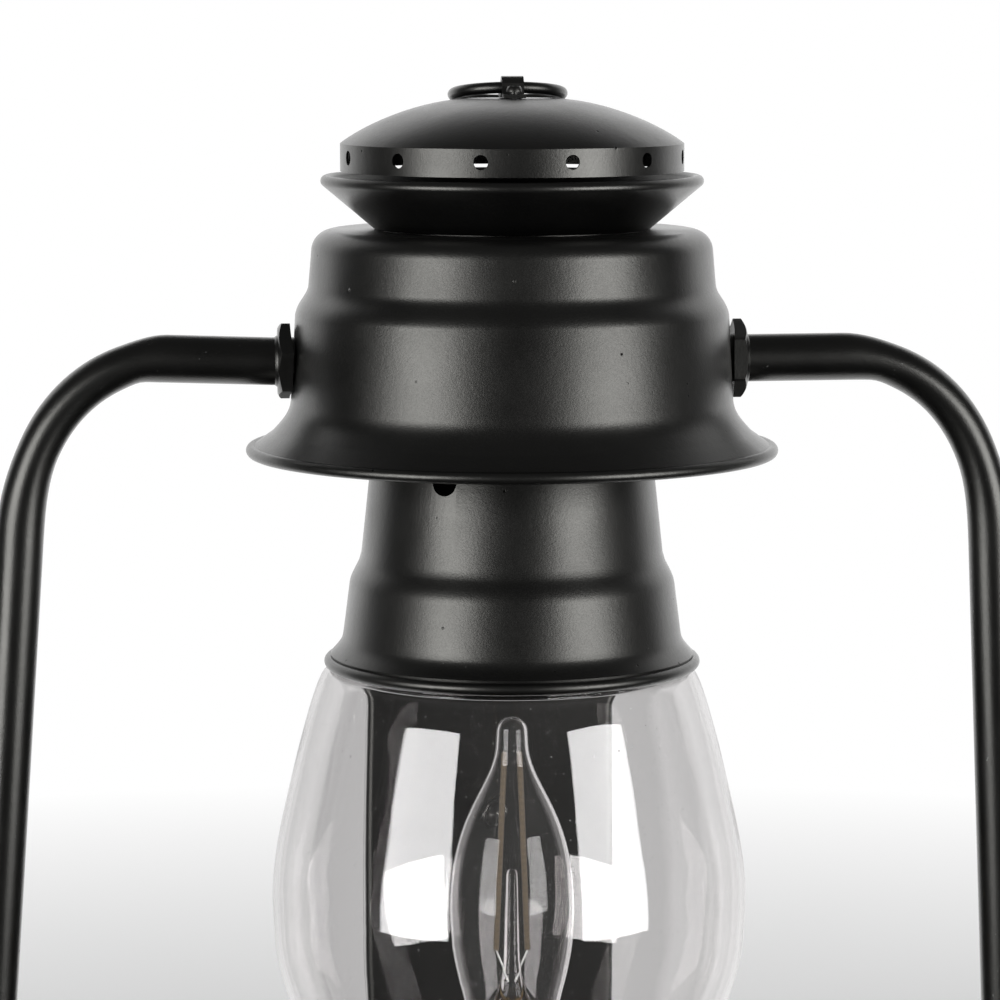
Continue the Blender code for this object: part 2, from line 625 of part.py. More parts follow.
def build_bulb():
    neck = 12.4 * MM
    tip_r = 4.4 * MM
    glass_foot = -164.0 * MM
    outer = [(0, BULB_TIP)] + arc(0, BULB_TIP - tip_r, tip_r, 60, 0, 3)
    outer += bezier_mm((4.7, -84), (6.4, -96), (17.5, -102), (17.5, -130), 5)
    outer += bezier_mm((17.0, -139), (15.6, -150), (13.0, -154), (12.4, -164), 3)
    inner = inset(outer[1:], 0.7 * MM)[::-1]
    section = outer + inner + [(0, BULB_TIP - 0.7 * MM)]
    turned("bulb_glass", section, "glass", bulb, FINE_STEPS, closed=False)
    cap_top = glass_foot + 2 * MM
    cap_foot = CAP_END + 2.5 * MM
    cap = [(neck + GAP, cap_top), (CAP_RADIUS - 0.1 * MM, cap_top), (CAP_RADIUS, -165 * MM)]
    cap += [(CAP_RADIUS, -181 * MM), (6 * MM, cap_foot), (4.4 * MM, cap_foot), (4.4 * MM, cap_foot + MM)]
    cap += [(neck, -180 * MM)]
    cap += [(neck, glass_foot - GAP), (neck + GAP, glass_foot - GAP)]
    turned("bulb_cap", cap, "brass", bulb, FINE_STEPS)
    contact_r = 4.1 * MM
    contact = [(0, CAP_END + 4.5 * MM), (contact_r, CAP_END + 4.5 * MM), (contact_r, CAP_END + MM)]
    contact += [(2.5 * MM, CAP_END), (0, CAP_END)]
    turned("bulb_contact", contact, "zinc", bulb, 16, closed=False)
    stem = [(0, -118 * MM), (1.6 * MM, -119 * MM), (2.2 * MM, -142 * MM)]
    stem += [(8 * MM, -160 * MM), (8 * MM, -166 * MM), (0, -166 * MM)]
    turned("bulb_stem", stem, "glass", bulb, 16, closed=False)
    rod = 0.8 * MM
    rod_top = -84.6 * MM
    rod_foot = -141 * MM
    top_x = 2.1 * MM  # the rods stand nearer each other at the top than at the foot
    foot_x = 4.4 * MM
    lean = math.atan2(foot_x - top_x, rod_top - rod_foot)
    length = math.hypot(foot_x - top_x, rod_top - rod_foot)
    section = [(0, 0), (rod, 0), (rod, -length), (0, -length)]
    for i, sign in enumerate((-1, 1)):
        name = f"bulb_filament_{i + 1}"
        place = (sign * top_x, 0, rod_top)
        turned(name, section, "phosphor", bulb, 8, place, (0, -sign * lean, 0), closed=False)


# The tank and what it holds.


def build_tank():
    shoulder = 7 * MM
    cone_end = (60 * MM, -210.6 * MM)
    outer = [(26 * MM, TANK_TOP), (48 * MM, TANK_TOP), cone_end]
    outer += arc(TANK_RADIUS - shoulder, -219.5 * MM, shoulder, 62, 0, 3)
    outer += [(TANK_RADIUS, -245 * MM)]
    outer += bezier_mm((70.4, -248), (70.8, -251), (71.6, -253), (72.8, -254.2), 2)
    inner = inset(outer, SHEET)
    rolled_edge = arc(TANK_RIM_RADIUS - BEAD, TANK_RIM, BEAD, 90, -180, 6)
    tank = turned("tank", outer + rolled_edge + inner[::-1], "black", lantern)
    hole = TUBE_RADIUS + GAP
    drill(tank, lantern, hole, 160 * MM, [(0, 0, TUBE_FOOT)], Vector((1, 0, 0)), 20)
    drill(tank, lantern, NIPPLE_RADIUS + GAP, 20 * MM, [(0, TANK_RADIUS, TUBE_FOOT)], Vector((0, 1, 0)), 20)
    drill(tank, lantern, SWITCH_BUSH + GAP, 20 * MM, [(0, -TANK_RADIUS, TUBE_FOOT)], Vector((0, 1, 0)), 16)


def build_tank_base():
    edge = 68.6 * MM
    deck = -250 * MM
    hole = CENTRE_ROD + GAP
    outer = [(hole, deck), (edge - 2 * MM, deck), (edge, deck - 2 * MM), (edge, TANK_RIM)]
    turned("tank_base", sheet_section(outer), "black", lantern)
    hex_nut("base_nut", "black", lantern, (0, 0, deck - SHEET - GAP), (0, 0, -1), 16 * MM, 3.4 * MM, hole)


def build_filler():
    """A screw cap on the sloping part of the tank's top, in front on the right."""
    slope = math.atan2(4.6, 12)
    ring = 56 * MM
    bearing = math.radians(-52)
    direction = Vector((math.cos(bearing), math.sin(bearing), 0))
    normal = direction * math.sin(slope) + UP * math.cos(slope)
    slope_start = 48 * MM
    seat = direction * ring + UP * (TANK_TOP - (ring - slope_start) * math.tan(slope))
    turn = UP.rotation_difference(normal).to_euler()
    neck_top = 6 * MM
    neck_r = 7.6 * MM
    drill(bpy.data.objects["tank"], lantern, neck_r + GAP, 12 * MM, [seat], normal, FINE_STEPS)
    flange = neck_r + 2.4 * MM
    section = [(neck_r, neck_top), (neck_r, MM + GAP), (flange, MM + GAP), (flange, GAP), (neck_r, GAP)]
    section += [(neck_r, -2 * MM), (neck_r - MM, -2 * MM), (neck_r - MM, neck_top)]
    turned("filler_neck", section, "black", lantern, FINE_STEPS, seat, turn)
    hinge = pivot("filler_axis", seat, lantern)
    hinge.rotation_euler = turn
    cap_r = 10.5 * MM
    crown = neck_top + GAP
    bore = neck_r + GAP
    section = [(0, crown + 2 * MM), (cap_r - MM, crown + 2 * MM), (cap_r, crown + MM), (cap_r, 2 * MM)]
    section += [(bore, 2 * MM), (bore, crown), (0, crown)]
    turned("filler_cap", section, "black", hinge, FINE_STEPS, closed=False)


def build_switch():
    """A turn switch inside the tank, worked by a wheel like an oil lantern's wick raiser."""
    front = Vector((0, -1, 0))
    wall = 69.3 * MM
    axis = pivot("switch_axis", (0, 0, TUBE_FOOT), lantern)
    axis.rotation_euler = UP.rotation_difference(front).to_euler()
    body_face = wall - GAP - 1.2 * MM
    bush_end = TANK_RADIUS + 5 * MM
    shaft = 2.4 * MM
    body_r = 10 * MM
    body_end = body_face - 15 * MM
    well = body_face - 6 * MM
    section = [(0, well), (shaft + GAP, well), (shaft + GAP, bush_end), (SWITCH_BUSH, bush_end)]
    section += [(SWITCH_BUSH, body_face), (body_r, body_face), (body_r, body_end), (0, body_end)]
    turned("switch_body", section, "phenolic", axis, FINE_STEPS, closed=False)
    seat = front * (TANK_RADIUS + GAP) + UP * TUBE_FOOT
    hex_nut("switch_nut", "black", lantern, seat, front, 14 * MM, 2.4 * MM, SWITCH_BUSH + GAP)
    knob_foot = bush_end + 0.6 * MM
    knob_top = knob_foot + 6 * MM
    rod_end = knob_foot + 4 * MM
    rod_start = body_face - 5.5 * MM
    rod = [(0, rod_end), (shaft, rod_end), (shaft, rod_start), (0, rod_start)]
    turned("switch_shaft", rod, "zinc", axis, 16, closed=False)
    flutes = 16
    shape = bmesh.new()
    rim = []
    for i in range(2 * flutes):
        angle = math.pi * i / flutes
        radius = (10 if i % 2 else 9) * MM
        rim.append(shape.verts.new((radius * math.cos(angle), radius * math.sin(angle), knob_foot)))
    face = shape.faces.new(rim)
    grown = bmesh.ops.extrude_face_region(shape, geom=[face])
    moved = [v for v in grown["geom"] if isinstance(v, bmesh.types.BMVert)]
    bmesh.ops.translate(shape, vec=(0, 0, knob_top - knob_foot), verts=moved)
    bmesh.ops.recalc_face_normals(shape, faces=shape.faces)
    mesh = bpy.data.meshes.new("wick_knob")
    shape.to_mesh(mesh)
    shape.free()
    knob = finish_object("wick_knob", mesh, "black", axis)
    bore_length = 20 * MM
    drill(knob, axis, shaft + GAP, bore_length, [(0, 0, rod_end + GAP - bore_length / 2)])


# The wall plate and its fixings. The wall's plane is y = 0, and heights here are from the plate's middle.


def build_wall_plate():
    front = -PLATE_DEPTH
    back = -GASKET - GAP
    depth = back - front
    shape = bmesh.new()
    made = bmesh.ops.create_cube(shape, size=1)
    bmesh.ops.scale(shape, vec=(PLATE_WIDTH, depth, PLATE_HEIGHT), verts=made["verts"])
    bmesh.ops.translate(shape, vec=(0, (front + back) / 2, 0), verts=made["verts"])
    uprights = [e for e in shape.edges if abs(e.verts[0].co.x - e.verts[1].co.x) < MM / 10
                and abs(e.verts[0].co.z - e.verts[1].co.z) < MM / 10]
    bmesh.ops.bevel(shape, geom=uprights, offset=PLATE_CORNER, segments=4, affect="EDGES", profile=0.5)
    rim = [e for e in shape.edges if all(abs(v.co.y - front) < MM / 10 for v in e.verts)]
    bmesh.ops.bevel(shape, geom=rim, offset=2.5 * MM, segments=3, affect="EDGES", profile=0.5)
    open_back = [f for f in shape.faces if all(abs(v.co.y - back) < MM / 10 for v in f.verts)]
    bmesh.ops.delete(shape, geom=open_back, context="FACES")
    bmesh.ops.recalc_face_normals(shape, faces=shape.faces)
    mesh = bpy.data.meshes.new("wall_plate")
    shape.to_mesh(mesh)
    shape.free()
    plate = finish_object("wall_plate", mesh, "black", wall_axis)
    wall = plate.modifiers.new("Wall", "SOLIDIFY")
    wall.thickness = PLATE_WALL
    wall.offset = -1
    wall.use_even_offset = True
    nipple_z = RIM_HEIGHT + TUBE_FOOT
    along = Vector((0, 1, 0))
    drill(plate, wall_axis, NIPPLE_RADIUS + GAP, 10 * MM, [(0, front, nipple_z)], along, 20)
    screw_z = PLATE_SCREW_PITCH / 2
    spots = [(0, front, screw_z), (0, front, -screw_z)]
    hole = 2.3 * MM
    drill(plate, wall_axis, hole, 10 * MM, spots, along, 12)

    mesh = box_mesh("wall_gasket", (PLATE_WIDTH, GASKET, PLATE_HEIGHT), (0, -GASKET / 2, 0))
    gasket = finish_object("wall_gasket", mesh, "rubber", wall_axis)
    corners = gasket.modifiers.new("Corners", "BEVEL")
    corners.width = PLATE_CORNER
    corners.segments = 4
    corners.limit_method = "WEIGHT"
    weights = gasket.data.attributes.new("bevel_weight_edge", "FLOAT", "EDGE")
    for edge in gasket.data.edges:
        ends = [gasket.data.vertices[i].co for i in edge.vertices]
        along_y = abs(ends[0].x - ends[1].x) < MM / 10 and abs(ends[0].z - ends[1].z) < MM / 10
        weights.data[edge.index].value = 1.0 if along_y else 0.0
    border = 8 * MM
    opening = box_mesh("opening", (PLATE_WIDTH - 2 * border, 10 * MM, PLATE_HEIGHT - 2 * border))
    boolean(gasket, cutter("gasket_opening", opening, wall_axis))

    bar_size = (20 * MM, BAR_THICKNESS, 104 * MM)
    bar = finish_object(
        "mounting_bar", box_mesh("mounting_bar", bar_size, (0, -BAR_THICKNESS / 2, 0)), "zinc", wall_axis
    )
    ground_z = 16 * MM
    drill(bar, wall_axis, hole, 10 * MM, [(0, 0, screw_z), (0, 0, -screw_z), (0, 0, ground_z)], along, 12)
    slot = box_mesh("slot", (4.6 * MM, 10 * MM, 9 * MM))
    for end in (-1, 1):
        boolean(bar, cutter(f"slot_{end}", slot, wall_axis, (0, 0, end * 46.5 * MM)))
    to_front = UP.rotation_difference(Vector((0, -1, 0))).to_euler()
    shank = 2 * MM
    screw_start = 0.3 * MM
    screw_end = PLATE_DEPTH + 4.6 * MM
    for name, z in (("upper", screw_z), ("lower", -screw_z)):
        screw = [(0, screw_end), (shank, screw_end), (shank, screw_start), (0, screw_start)]
        turned("plate_screw_" + name, screw, "zinc", wall_axis, 12, (0, 0, z), to_front, closed=False)
        seat = (0, front - GAP, z)
        nut = hex_nut("cap_nut_" + name, "black", wall_axis, seat, (0, -1, 0), 9 * MM, 8 * MM)
        bore = cylinders_mesh("bore", hole, 10.4 * MM, [(0, 0, 0)], sides=12)
        boolean(nut, cutter("bore_cap_nut_" + name, bore, wall_axis, seat, to_front))
    head = 3.6 * MM
    head_foot = BAR_THICKNESS + GAP
    head_top = 5 * MM
    ground = [(0, head_top), (head, head_top), (head, head_foot), (shank, head_foot), (shank, screw_start)]
    ground.append((0, screw_start))
    turned("ground_screw", ground, "green", wall_axis, 12, (0, 0, ground_z), to_front, closed=False)


def build_back_nipple():
    """The hollow nipple that carries the lantern and its leads from the plate to the tank."""
    nipple_z = RIM_HEIGHT + TUBE_FOOT
    to_front = UP.rotation_difference(Vector((0, -1, 0))).to_euler()
    plate_end = 10 * MM
    tank_end = AXIS_STANDOFF - 62 * MM
    bore = NIPPLE_RADIUS + GAP
    pipe = [(NIPPLE_RADIUS, tank_end), (NIPPLE_RADIUS, plate_end)]
    place = (0, 0, nipple_z)
    turned("back_nipple", sheet_section(pipe, 1.4 * MM), "zinc", wall_axis, 20, place, to_front)
    tank_wall = AXIS_STANDOFF - TANK_RADIUS
    spacer_r = 11 * MM
    spacer = [(spacer_r, tank_wall - GAP), (spacer_r, PLATE_DEPTH + GAP)]
    spacer += [(bore, PLATE_DEPTH + GAP), (bore, tank_wall - GAP)]
    turned("back_spacer", spacer, "black", wall_axis, FINE_STEPS, place, to_front)
    in_plate = PLATE_DEPTH - PLATE_WALL - GAP
    in_tank = AXIS_STANDOFF - TANK_JAM_SEAT
    for name, depth, way in (("plate_lock_nut", in_plate, 1), ("tank_lock_nut", in_tank, -1)):
        hex_nut(name, "zinc", wall_axis, (0, -depth, nipple_z), (0, way, 0), thickness=JAM_NUT, bore=bore)


clear_scene()
parts = collection(COLLECTION)
cutters = collection(COLLECTION + "_cutters")
lantern = pivot("lantern_axis", (0, -AXIS_STANDOFF, RIM_HEIGHT))
chimney = pivot("chimney_axis", (0, 0, 0), lantern)
globe_lift = pivot("globe_axis", (0, 0, 0), lantern)
bulb = pivot("bulb_axis", (0, 0, 0), lantern)
wall_axis = pivot("wall_axis", (0, 0, 0))
build_hood()
for tube_side in SIDES:
    build_side_tube(tube_side)
    build_tube_nuts(tube_side)
build_neck()
build_crown()
build_lift_ring()
build_spring()
build_globe()
build_burner()
build_tank()
build_tank_base()
build_lamp_holder()
build_bulb()
build_filler()
build_switch()
build_wall_plate()
build_back_nipple()
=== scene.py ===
"""Looks for the barn lantern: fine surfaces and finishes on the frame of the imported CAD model.

The frame has +Z up, +X to the right of somebody who faces the lantern, and +Y into the wall.
Outlines are lists of (radius, height), from the lantern's axis and from the hood's rolled rim.
"""

import json
import math

import bmesh
import bpy
from mathutils import Matrix, Vector


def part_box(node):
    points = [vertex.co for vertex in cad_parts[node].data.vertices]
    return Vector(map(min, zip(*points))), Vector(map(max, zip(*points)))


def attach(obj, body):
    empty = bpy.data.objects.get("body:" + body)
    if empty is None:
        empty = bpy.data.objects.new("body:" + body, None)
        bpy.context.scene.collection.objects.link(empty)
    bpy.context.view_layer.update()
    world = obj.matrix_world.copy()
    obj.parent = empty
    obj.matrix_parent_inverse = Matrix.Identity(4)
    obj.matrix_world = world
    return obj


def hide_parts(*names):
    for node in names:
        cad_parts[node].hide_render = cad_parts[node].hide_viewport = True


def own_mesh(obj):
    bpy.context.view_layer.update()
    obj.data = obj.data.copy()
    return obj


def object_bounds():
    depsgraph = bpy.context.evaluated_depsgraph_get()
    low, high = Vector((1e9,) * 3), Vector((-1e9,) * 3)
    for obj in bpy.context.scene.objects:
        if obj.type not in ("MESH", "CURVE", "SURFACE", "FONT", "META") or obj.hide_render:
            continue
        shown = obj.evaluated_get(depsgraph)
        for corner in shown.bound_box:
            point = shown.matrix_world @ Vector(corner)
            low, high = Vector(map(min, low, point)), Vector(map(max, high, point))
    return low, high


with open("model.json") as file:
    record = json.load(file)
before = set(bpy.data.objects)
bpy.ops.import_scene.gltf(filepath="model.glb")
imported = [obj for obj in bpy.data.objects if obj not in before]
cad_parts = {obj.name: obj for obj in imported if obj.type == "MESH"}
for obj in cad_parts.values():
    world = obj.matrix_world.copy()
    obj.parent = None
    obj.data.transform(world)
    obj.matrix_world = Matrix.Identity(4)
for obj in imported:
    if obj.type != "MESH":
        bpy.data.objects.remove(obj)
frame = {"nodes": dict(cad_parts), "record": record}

cad_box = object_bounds()

MM = 0.001
UP = Vector((0, 0, 1))
FRONT = Vector((0, -1, 0))
SHARP = math.radians(38)

# Places from the frame: the lantern's axis, and the height of the hood's rim under the crown's flat top.
CAP_TOP = 96.0 * MM
base_low, base_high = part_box("tank_base")
AXIS = Vector(((base_low.x + base_high.x) / 2, (base_low.y + base_high.y) / 2, 0))
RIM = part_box("crown_cap")[1].z - CAP_TOP
LANTERN = Matrix.Translation(AXIS + UP * RIM)

# The driving dimensions, which repeat those of the CAD model.
SHEET = 0.8 * MM
BEAD = 1.6 * MM
GAP = 0.3 * MM
HOOD_TOP = 60.4 * MM
HOOD_TOP_RADIUS = 55.0 * MM
HOOD_WAIST_RADIUS = 60.8 * MM
RIM_RADIUS = 73.2 * MM
CHIMNEY_RADIUS = 36.0 * MM
RING_RADIUS = 52.0 * MM
RING_HEIGHT = -58.8 * MM
VENT_BEARING = math.radians(-32.4)
VENT_HEIGHT = -5.5 * MM
VENT_RADIUS = 3.6 * MM
CROWN_RADIUS = 52.4 * MM
CAP_FOOT = 76.4 * MM
SKIRT_RADIUS = 47.0 * MM
LIFT_RING_RADIUS = 15.0 * MM
LIFT_RING_WIRE = 1.6 * MM
LIFT_RING_LIE = math.radians(8)
TUBE_RADIUS = 6.55 * MM
TUBE_WALL = 1.0 * MM
TUBE_TOP = 24.6 * MM
TUBE_FOOT = -232.0 * MM
TUBE_BEND = 44.0 * MM
# From the hood each tube rises to its upper bend, which starts at one radius and ends at another, lower
# down. The pulls shape the bend at its two ends.
LEGS = {
    "left": {
        "rise": 0.9 * MM, "bend_start": 94.7 * MM, "bend_end": 135.1 * MM, "bend_drop": 48.2 * MM,
        "pulls": (13.5 * MM, 38.3 * MM), "splay": math.radians(4.0),
    },
    "right": {
        "rise": 0.2 * MM, "bend_start": 91.6 * MM, "bend_end": 134.4 * MM, "bend_drop": 52.3 * MM,
        "pulls": (18.8 * MM, 39.6 * MM), "splay": math.radians(2.4),
    },
}
BEND_FLATTENING = 0.13  # how much of its thickness the tube lost across each bend
SIDES = {"left": -1, "right": 1}
NUT_FLATS = 19.0 * MM
NUT_THICKNESS = 3.3 * MM
NUT_SADDLE = 1.6 * MM
JAM_NUT = 3.6 * MM
NUT_TURN = {"left": math.radians(-14), "right": math.radians(-2.4)}  # how far the hood's nuts were tightened
GLASS = 1.6 * MM
GLOBE_MOUTH = -54.6 * MM
GLOBE_FOOT = -196.0 * MM
GLOBE_FOOT_RADIUS = 43.4 * MM
GALLERY = -198.6 * MM
GALLERY_RADIUS = 47.5 * MM
SLEEVE_RADIUS = 21.0 * MM
TANK_TOP = -206.0 * MM
TANK_RADIUS = 70.1 * MM
TANK_RIM = -256.0 * MM
TANK_RIM_RADIUS = 74.4 * MM
BULB_TIP = -74.8 * MM
BULB_CAP_RADIUS = 13.2 * MM
FILAMENT = 0.8 * MM
FILAMENT_TOP = (2.1 * MM, -84.6 * MM)
FILAMENT_FOOT = (4.4 * MM, -141.0 * MM)
PLATE_CORNER = 6.0 * MM
FILLER_BEARING = math.radians(-52)
FILLER_SLOPE = math.atan2(4.6, 12)

STEPS = 160  # round the large turned pieces
FINE_STEPS = 64  # and round the small ones


# Outlines and meshes.


def arc(middle_r, middle_z, radius, start, end, count):
    """Points on an arc, from one angle to another in degrees. 0 is outwards and 90 is up."""
    points = []
    for i in range(count + 1):
        angle = math.radians(start + (end - start) * i / count)
        points.append((middle_r + radius * math.cos(angle), middle_z + radius * math.sin(angle)))
    return points


def bezier(start, pull_start, pull_end, end, count):
    """A smooth stretch of outline between two points."""
    corners = (start, pull_start, pull_end, end)
    points = []
    for i in range(count + 1):
        t = i / count
        weights = ((1 - t) ** 3, 3 * t * (1 - t) ** 2, 3 * t * t * (1 - t), t ** 3)
        points.append(tuple(sum(w * c[k] for w, c in zip(weights, corners)) for k in range(2)))
    return points


def millimetres(*points):
    return [tuple(value * MM for value in point) for point in points]


def curve_mm(start, pull_start, pull_end, end, count):
    return bezier(*millimetres(start, pull_start, pull_end, end), count)


def inset(points, wall):
    """The inner side of an outline that runs down its outer side."""
    inner = []
    for i, point in enumerate(points):
        before = Vector(points[max(i - 1, 0)])
        after = Vector(points[min(i + 1, len(points) - 1)])
        here = Vector(point)
        normals = []
        for a, b in ((before, here), (here, after)):
            if (b - a).length > 1e-9:
                along = (b - a).normalized()
                normals.append(Vector((along.y, -along.x)))
        mitre = sum(normals, Vector((0, 0))).normalized()
        inner.append(tuple(here + mitre * wall / max(mitre.dot(normals[0]), 0.5)))
    return inner


def sheet_section(outer, wall=SHEET):
    """A closed section of pressed sheet: down the outside and back up the inside."""
    return outer + inset(outer, wall)[::-1]


def skin(name, rows, rows_meet=True, closed=True):
    """A mesh over rows of points.

    closed joins each row's ends, and rows_meet joins the last row to the first.
    """
    width = len(rows[0])
    points = [tuple(point) for row in rows for point in row]
    faces = []
    for i in range(len(rows) if rows_meet else len(rows) - 1):
        j = (i + 1) % len(rows)
        for k in range(width if closed else width - 1):
            m = (k + 1) % width
            faces.append((i * width + k, i * width + m, j * width + m, j * width + k))
    mesh = bpy.data.meshes.new(name)
    mesh.from_pydata(points, [], faces)
    return tidied(mesh)


def tidied(mesh):
    """Welds the mesh, caps its open ends, turns its faces outwards and shades it smooth."""
    shape = bmesh.new()
    shape.from_mesh(mesh)
    bmesh.ops.remove_doubles(shape, verts=shape.verts, dist=1e-6)
    rims = [edge for edge in shape.edges if edge.is_boundary]
    if rims:
        bmesh.ops.holes_fill(shape, edges=rims)
    bmesh.ops.recalc_face_normals(shape, faces=shape.faces)
    shape.to_mesh(mesh)
    shape.free()
    mesh.shade_smooth()
    mesh.set_sharp_from_angle(angle=SHARP)
    return mesh


def facing(point, direction, turn=0.0):
    """The place of something that stands on a point, with its own Z axis along the direction."""
    tilt = UP.rotation_difference(Vector(direction)).to_matrix().to_4x4()
    return Matrix.Translation(Vector(point)) @ tilt @ Matrix.Rotation(turn, 4, "Z")


def turned_rows(section_at, steps, place):
    """Rows round an axis. section_at gives the section at an angle, so a shape needn't be round."""
    rows = []
    for i in range(steps):
        angle = 2 * math.pi * i / steps
        direction = Vector((math.cos(angle), math.sin(angle), 0))
        rows.append([place @ (direction * radius + UP * height) for radius, height in section_at(angle)])
    return rows


def add_piece(name, mesh, body, finish, *nodes):
    """One visible piece, which rides on a body and stands for the CAD nodes given."""
    piece = bpy.data.objects.new(name, mesh)
    bpy.context.scene.collection.objects.link(piece)
    look, record_slot = FINISHES[finish]
    mesh.materials.append(look)
    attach(piece, body)
    if nodes:
        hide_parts(*nodes)
    return piece


def body_of(node):
    return next(body for body, nodes in frame["record"]["behaviour"]["bodies"].items() if node in nodes)


def turned(node, section, finish, steps=STEPS, place=LANTERN, closed=True):
    """A fine turned piece in place of a CAD node."""
    mesh = skin(node + "_fine", turned_rows(lambda angle: section, steps, place), closed=closed)
    return add_piece(node + "_fine", mesh, body_of(node), finish, node)


def cut(piece, tools, operation="DIFFERENCE"):
    """Cuts meshes out of a piece for good, so that no modifier or cutter is left."""
    for tool in tools:
        cutter = bpy.data.objects.new("cutter", tool)
        bpy.context.scene.collection.objects.link(cutter)
        change = piece.modifiers.new("Cut", "BOOLEAN")
        change.operation = operation
        change.object = cutter
        bpy.context.view_layer.update()
        graph = bpy.context.evaluated_depsgraph_get()
        made = bpy.data.meshes.new_from_object(piece.evaluated_get(graph))
        piece.modifiers.clear()
        piece.data = made
        bpy.data.objects.remove(cutter)
    piece.data.shade_smooth()
    piece.data.set_sharp_from_angle(angle=SHARP)


def rod_mesh(radius, length, place, sides=32):
    """A plain cylinder for cutting, centred on its place."""
    section = [(0, length / 2), (radius, length / 2), (radius, -length / 2), (0, -length / 2)]
    return skin("rod", turned_rows(lambda angle: section, sides, place), closed=False)


def nut_section(flats, thickness, bore, dome=0.0):
    """The section of a chamfered hexagon nut at each angle, with a domed end where it has one."""
    shoulder = flats * 0.475
    corner = flats / 2 / math.cos(math.pi / 6) - 0.12 * MM
    chamfer = math.tan(math.radians(30))

    def section_at(angle):
        edge = min(flats / 2 / math.cos(angle % (math.pi / 3) - math.pi / 6), corner)
        drop = max(edge - shoulder, 0) * chamfer
        outside = [(shoulder, thickness), (edge, thickness - drop), (edge, 0.4 * drop)]
        outside.append((min(shoulder + 0.3 * MM, edge), 0))
        if dome:
            ball = shoulder * 0.86
            top = [(0, thickness + dome)] + arc(0, thickness + dome - ball, ball, 86, 0, 10)
            return top + [(ball, thickness + 0.2 * MM)] + outside + [(0, 0)]
        hole = [(bore, 0.3 * MM), (bore, thickness - 0.4 * MM), (bore + 0.5 * MM, thickness)]
        return hole + outside + [(bore, 0)]

    return section_at


def hex_nut(node, finish, place, flats=NUT_FLATS, thickness=NUT_THICKNESS, bore=TUBE_RADIUS, dome=0.0):
    section_at = nut_section(flats, thickness, bore, dome)
    mesh = skin(node + "_fine", turned_rows(section_at, 96, place), closed=not dome)
    return add_piece(node + "_fine", mesh, body_of(node), finish, node)


def sweep_rows(path, normal, radius, sides, loop=False, swell=None):
    """Rings round a path. swell gives a factor on the radius from the point's number and the angle."""
    rows = []
    last = len(path) - 1
    for i, point in enumerate(path):
        after = path[(i + 1) % len(path)] if loop else path[min(i + 1, last)]
        tangent = (after - path[i - 1 if loop or i else 0]).normalized()
        normal = (normal - tangent * normal.dot(tangent)).normalized()
        side = tangent.cross(normal)
        ring = []
        for k in range(sides):
            angle = 2 * math.pi * k / sides
            reach = radius * (swell(i, angle) if swell else 1)
            ring.append(point + (normal * math.cos(angle) + side * math.sin(angle)) * reach)
        rows.append(ring)
    return rows


# Finishes, which are all made of nodes.


def node(tree, kind, links=None, **settings):
    """Adds a shader node. links maps its inputs to sockets or to plain values."""
    made = tree.nodes.new("ShaderNode" + kind)
    for name, value in settings.items():
        setattr(made, name, value)
    for name, value in (links or {}).items():
        socket = made.inputs[name]
        if isinstance(value, bpy.types.NodeSocket):
            tree.links.new(value, socket)
        else:
            socket.default_value = value
    return made


def noise(tree, place, size, detail=2.0, roughness=0.5, stretch=None):
    """Noise whose features are about the size given, in metres."""
    if stretch:
        place = node(tree, "Mapping", {"Vector": place, "Scale": stretch}).outputs["Vector"]
    links = {"Vector": place, "Scale": 1 / size, "Detail": detail, "Roughness": roughness}
    return node(tree, "TexNoise", links).outputs["Fac"]


def spread(tree, value, low, high, to_low=0.0, to_high=1.0):
    links = {"Value": value, "From Min": low, "From Max": high, "To Min": to_low, "To Max": to_high}
    return node(tree, "MapRange", links).outputs["Result"]


def maths(tree, operation, *values):
    return node(tree, "Math", dict(enumerate(values)), operation=operation).outputs["Value"]


def mixed(tree, factor, first, second):
    mix = node(tree, "Mix", data_type="RGBA")
    for index, value in ((0, factor), (6, first), (7, second)):
        if isinstance(value, bpy.types.NodeSocket):
            tree.links.new(value, mix.inputs[index])
        else:
            mix.inputs[index].default_value = value
    return mix.outputs[2]


def specks(tree, place, spacing, radius, share):
    """Soft dots in a share of the cells of a random grid."""
    cells = node(tree, "TexVoronoi", {"Vector": place, "Scale": 1 / spacing})
    dot = spread(tree, cells.outputs["Distance"], radius / spacing, 0.0)
    chance = node(tree, "SeparateColor", {"Color": cells.outputs["Color"]}).outputs["Red"]
    return maths(tree, "MULTIPLY", dot, maths(tree, "LESS_THAN", chance, share))


def bump(tree, height, depth, under=None, strength=1.0):
    links = {"Height": height, "Distance": depth, "Strength": strength}
    if under:
        links["Normal"] = under
    return node(tree, "Bump", links).outputs["Normal"]


def new_finish(name):
    """A material, its node tree, its Principled shader and the place on the piece."""
    look = bpy.data.materials.new(name)
    look.use_nodes = True
    tree = look.node_tree
    place = node(tree, "TexCoord").outputs["Object"]
    return look, tree, tree.nodes["Principled BSDF"], place


def grey(value, tint=1.0):
    return (value, value, value * tint, 1.0)


def set_inputs(tree, shader, **links):
    for name, value in links.items():
        socket = shader.inputs[name.replace("_", " ")]
        if isinstance(value, bpy.types.NodeSocket):
            tree.links.new(value, socket)
        else:
            socket.default_value = value


